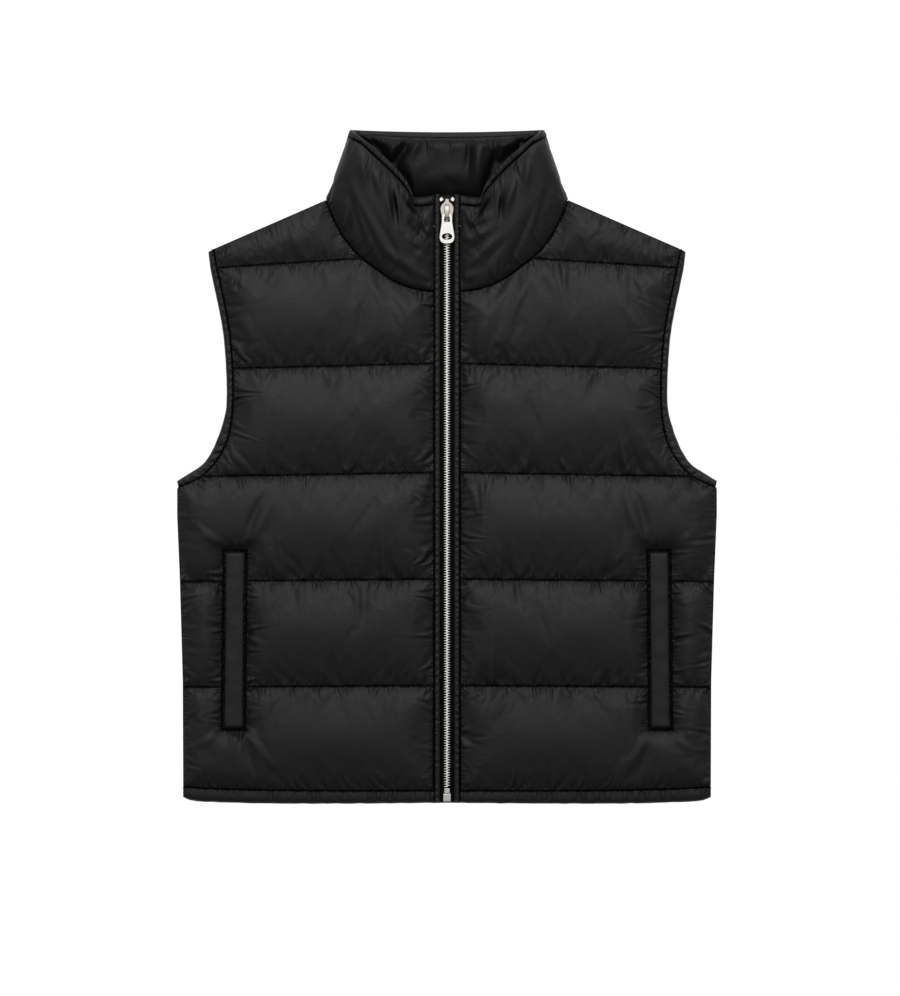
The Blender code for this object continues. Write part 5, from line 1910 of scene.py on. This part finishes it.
# %% Stitches
LEAST_STITCH = 0.86
MOST_STITCH = 1.08


def stitch_tree():
    """Threads along the edges of a carrier mesh: their pitch, length, thickness and seed."""
    sizes = (("Pitch", "Float"), ("Length", "Float"), ("Thickness", "Float"), ("Seed", "Int"))
    tree, given, leave = new_tree("rows of stitches", sizes)
    curve = made(tree, "GeometryNodeMeshToCurve", {"Mesh": given["Geometry"]})
    spots = made(tree, "GeometryNodeResampleCurve", {"Curve": curve, "Length": given["Pitch"]}, mode="LENGTH")
    capsule = made(tree, "GeometryNodeMeshUVSphere", {"Segments": 6, "Rings": 4, "Radius": 0.5}, "Mesh")
    thick = given["Thickness"]
    size = made(tree, "ShaderNodeCombineXYZ", {"X": given["Length"], "Y": thick, "Z": thick})
    thread = made(tree, "GeometryNodeTransform", {"Geometry": capsule, "Scale": size})
    tangent = made(tree, "GeometryNodeInputTangent", {})
    aim = made(tree, "FunctionNodeAlignRotationToVector", {"Vector": tangent}, axis="X")
    chance = {2: LEAST_STITCH, 3: MOST_STITCH, "Seed": given["Seed"]}
    uneven_size = made(tree, "FunctionNodeRandomValue", chance, 1, data_type="FLOAT")
    inputs = {"Points": spots, "Instance": thread, "Rotation": aim, "Scale": uneven_size}
    finish_tree(tree, made(tree, "GeometryNodeInstanceOnPoints", inputs), leave, THREAD)
    return tree


STITCHES = stitch_tree()
STITCH = {"Pitch": 2.8 * MM, "Length": 2.2 * MM, "Thickness": 0.5 * MM}


def sew(name, rows, seed):
    """One piece with the stitches of several rows of points."""
    points = []
    edges = []
    for row in rows:
        edges += [(len(points) + k, len(points) + k + 1) for k in range(len(row) - 1)]
        points += (np.asarray(row) * MM).tolist()
    data = bpy.data.meshes.new(name + " path")
    data.from_pydata(points, edges, [])
    wear(grown(placed(name + " path", data), STITCHES, name, {**STITCH, "Seed": seed}), "shell_cloth")


def quilting_rows(panel, lift):
    """The quilting rows of a finished panel, as runs of neighbouring points raised by lift."""
    rows = []
    for a, b in panel["links"]:
        if a < panel["rows"] or b != a + 1:
            continue
        if rows and rows[-1][-1] == a:
            rows[-1].append(b)
        else:
            rows.append([a, b])
    return [panel["points"][row] + (0.0, 0.0, lift) for row in rows]


ROW_STITCH_LIFT = 0.25
BAND_STITCH_LIFT = 0.2
outer_row = collar_shape[:, BAND_ROW]
inner_row = collar_shape[:, len(COLLAR_OUT) + 1]
away = outer_row - inner_row
band_row = outer_row + BAND_STITCH_LIFT * away / np.linalg.norm(away, axis=1)[:, None]
sew("stitches_quilting_left", quilting_rows(panels["front_left"], ROW_STITCH_LIFT), 1)
sew("stitches_quilting_right", quilting_rows(panels["front_right"], ROW_STITCH_LIFT), 2)
sew("stitches_quilting_back", quilting_rows(panels["back"], -ROW_STITCH_LIFT), 3)
sew("stitches_edges", stitch_rows, 4)
sew("stitches_collar_band", [band_row[1:-1]], 5)

# %% [markdown]
# ## Floor, light and camera
#
# The vest lies on a plain white floor that glows a little, so that it stays white all round a black
# garment. Dark shiny cloth shows its shape only by what it mirrors. So the sky is bright beyond the
# collar, dark below the hem and dimmer at both sides: every chamber is bright on its upper side and dark
# towards the row below it, and folds that run up and down still show. A wide soft window beyond the
# collar adds the gloss, and a weak light overhead fills the metal. Below the horizon the world is white,
# as the floor is. The camera looks straight down without perspective, which keeps the outline true.

# %% Floor
FLOOR_HALF = 4.0
FLOOR_DROP = 0.0004
FLOOR_GREY = 0.02
WHITE = (1.0, 1.0, 1.0, 1.0)
floor_data = bpy.data.meshes.new("floor")
corners = [(x * FLOOR_HALF, y * FLOOR_HALF, -FLOOR_DROP) for x, y in ((-1, -1), (1, -1), (1, 1), (-1, 1))]
floor_data.from_pydata(corners, [], [(0, 1, 2, 3)])
paper = bpy.data.materials.new("white floor")
paper.use_nodes = True
filled(paper.node_tree, paper.node_tree.nodes["Principled BSDF"], {
    "Base Color": (FLOOR_GREY, FLOOR_GREY, FLOOR_GREY, 1.0), "Roughness": 0.9,
    "Emission Color": WHITE, "Emission Strength": 1.0,
})
floor_data.materials.append(paper)
placed("floor", floor_data)

# %% Sky
SKY_BELOW = 0.015
SKY_BEYOND = 0.98
SKY_SIDES = 0.75
world = bpy.data.worlds.new("sky")
world.use_nodes = True
bpy.context.scene.world = world
sky = world.node_tree
heading = made(sky, "ShaderNodeTexCoord", {}, "Generated")
sideways, beyond, upward = made(sky, "ShaderNodeSeparateXYZ", {0: heading}).node.outputs
share = reckoned(sky, "MULTIPLY_ADD", beyond, 0.5, 0.5)
dimmed = reckoned(sky, "MULTIPLY_ADD", reckoned(sky, "MULTIPLY", sideways, sideways), -SKY_SIDES, 1.0)
share = reckoned(sky, "MULTIPLY", share, dimmed)
glow = ranged(sky, share, 0.0, 1.0, SKY_BELOW, SKY_BEYOND, "LINEAR")
ground = reckoned(sky, "LESS_THAN", upward, 0.0)
filled(sky, sky.nodes["Background"], {"Color": WHITE, "Strength": reckoned(sky, "MAXIMUM", glow, ground)})


# %% Lights
def soft_light(name, place, aim, size, beam, watts):
    """Rectangular light that faces a point, with its beam's angle in degrees."""
    light = bpy.data.lights.new(name, "AREA")
    light.spread = math.radians(beam)
    light.shape = "RECTANGLE"
    light.size, light.size_y = size
    light.energy = watts
    lamp = placed(name, light)
    lamp.location = place
    lamp.rotation_euler = (Vector(aim) - Vector(place)).to_track_quat("-Z", "Y").to_euler()


soft_light("window", (0.0, 0.85, 1.25), (0.0, 0.16, 0.0), (1.3, 0.7), beam=60.0, watts=1.15)
soft_light("overhead", (0.0, 0.3, 1.3), (0.0, 0.2, 0.0), (1.6, 0.7), beam=50.0, watts=0.24)
bpy.context.scene.view_settings.view_transform = "Standard"

# %% Camera
VIEW_HEIGHT = 0.996
VIEW_CENTRE = (0.003, -0.0315)
CAMERA_UP = 3.0
camera = bpy.data.cameras.new("camera")
camera.type = "ORTHO"
camera.ortho_scale = VIEW_HEIGHT
camera.clip_end = 20.0
watcher = placed("camera", camera)
watcher.location = (*VIEW_CENTRE, CAMERA_UP)
bpy.context.scene.camera = watcher
print("view:", round(VIEW_HEIGHT / MM), "mm high")

# %% The last update
bpy.context.view_layer.update()
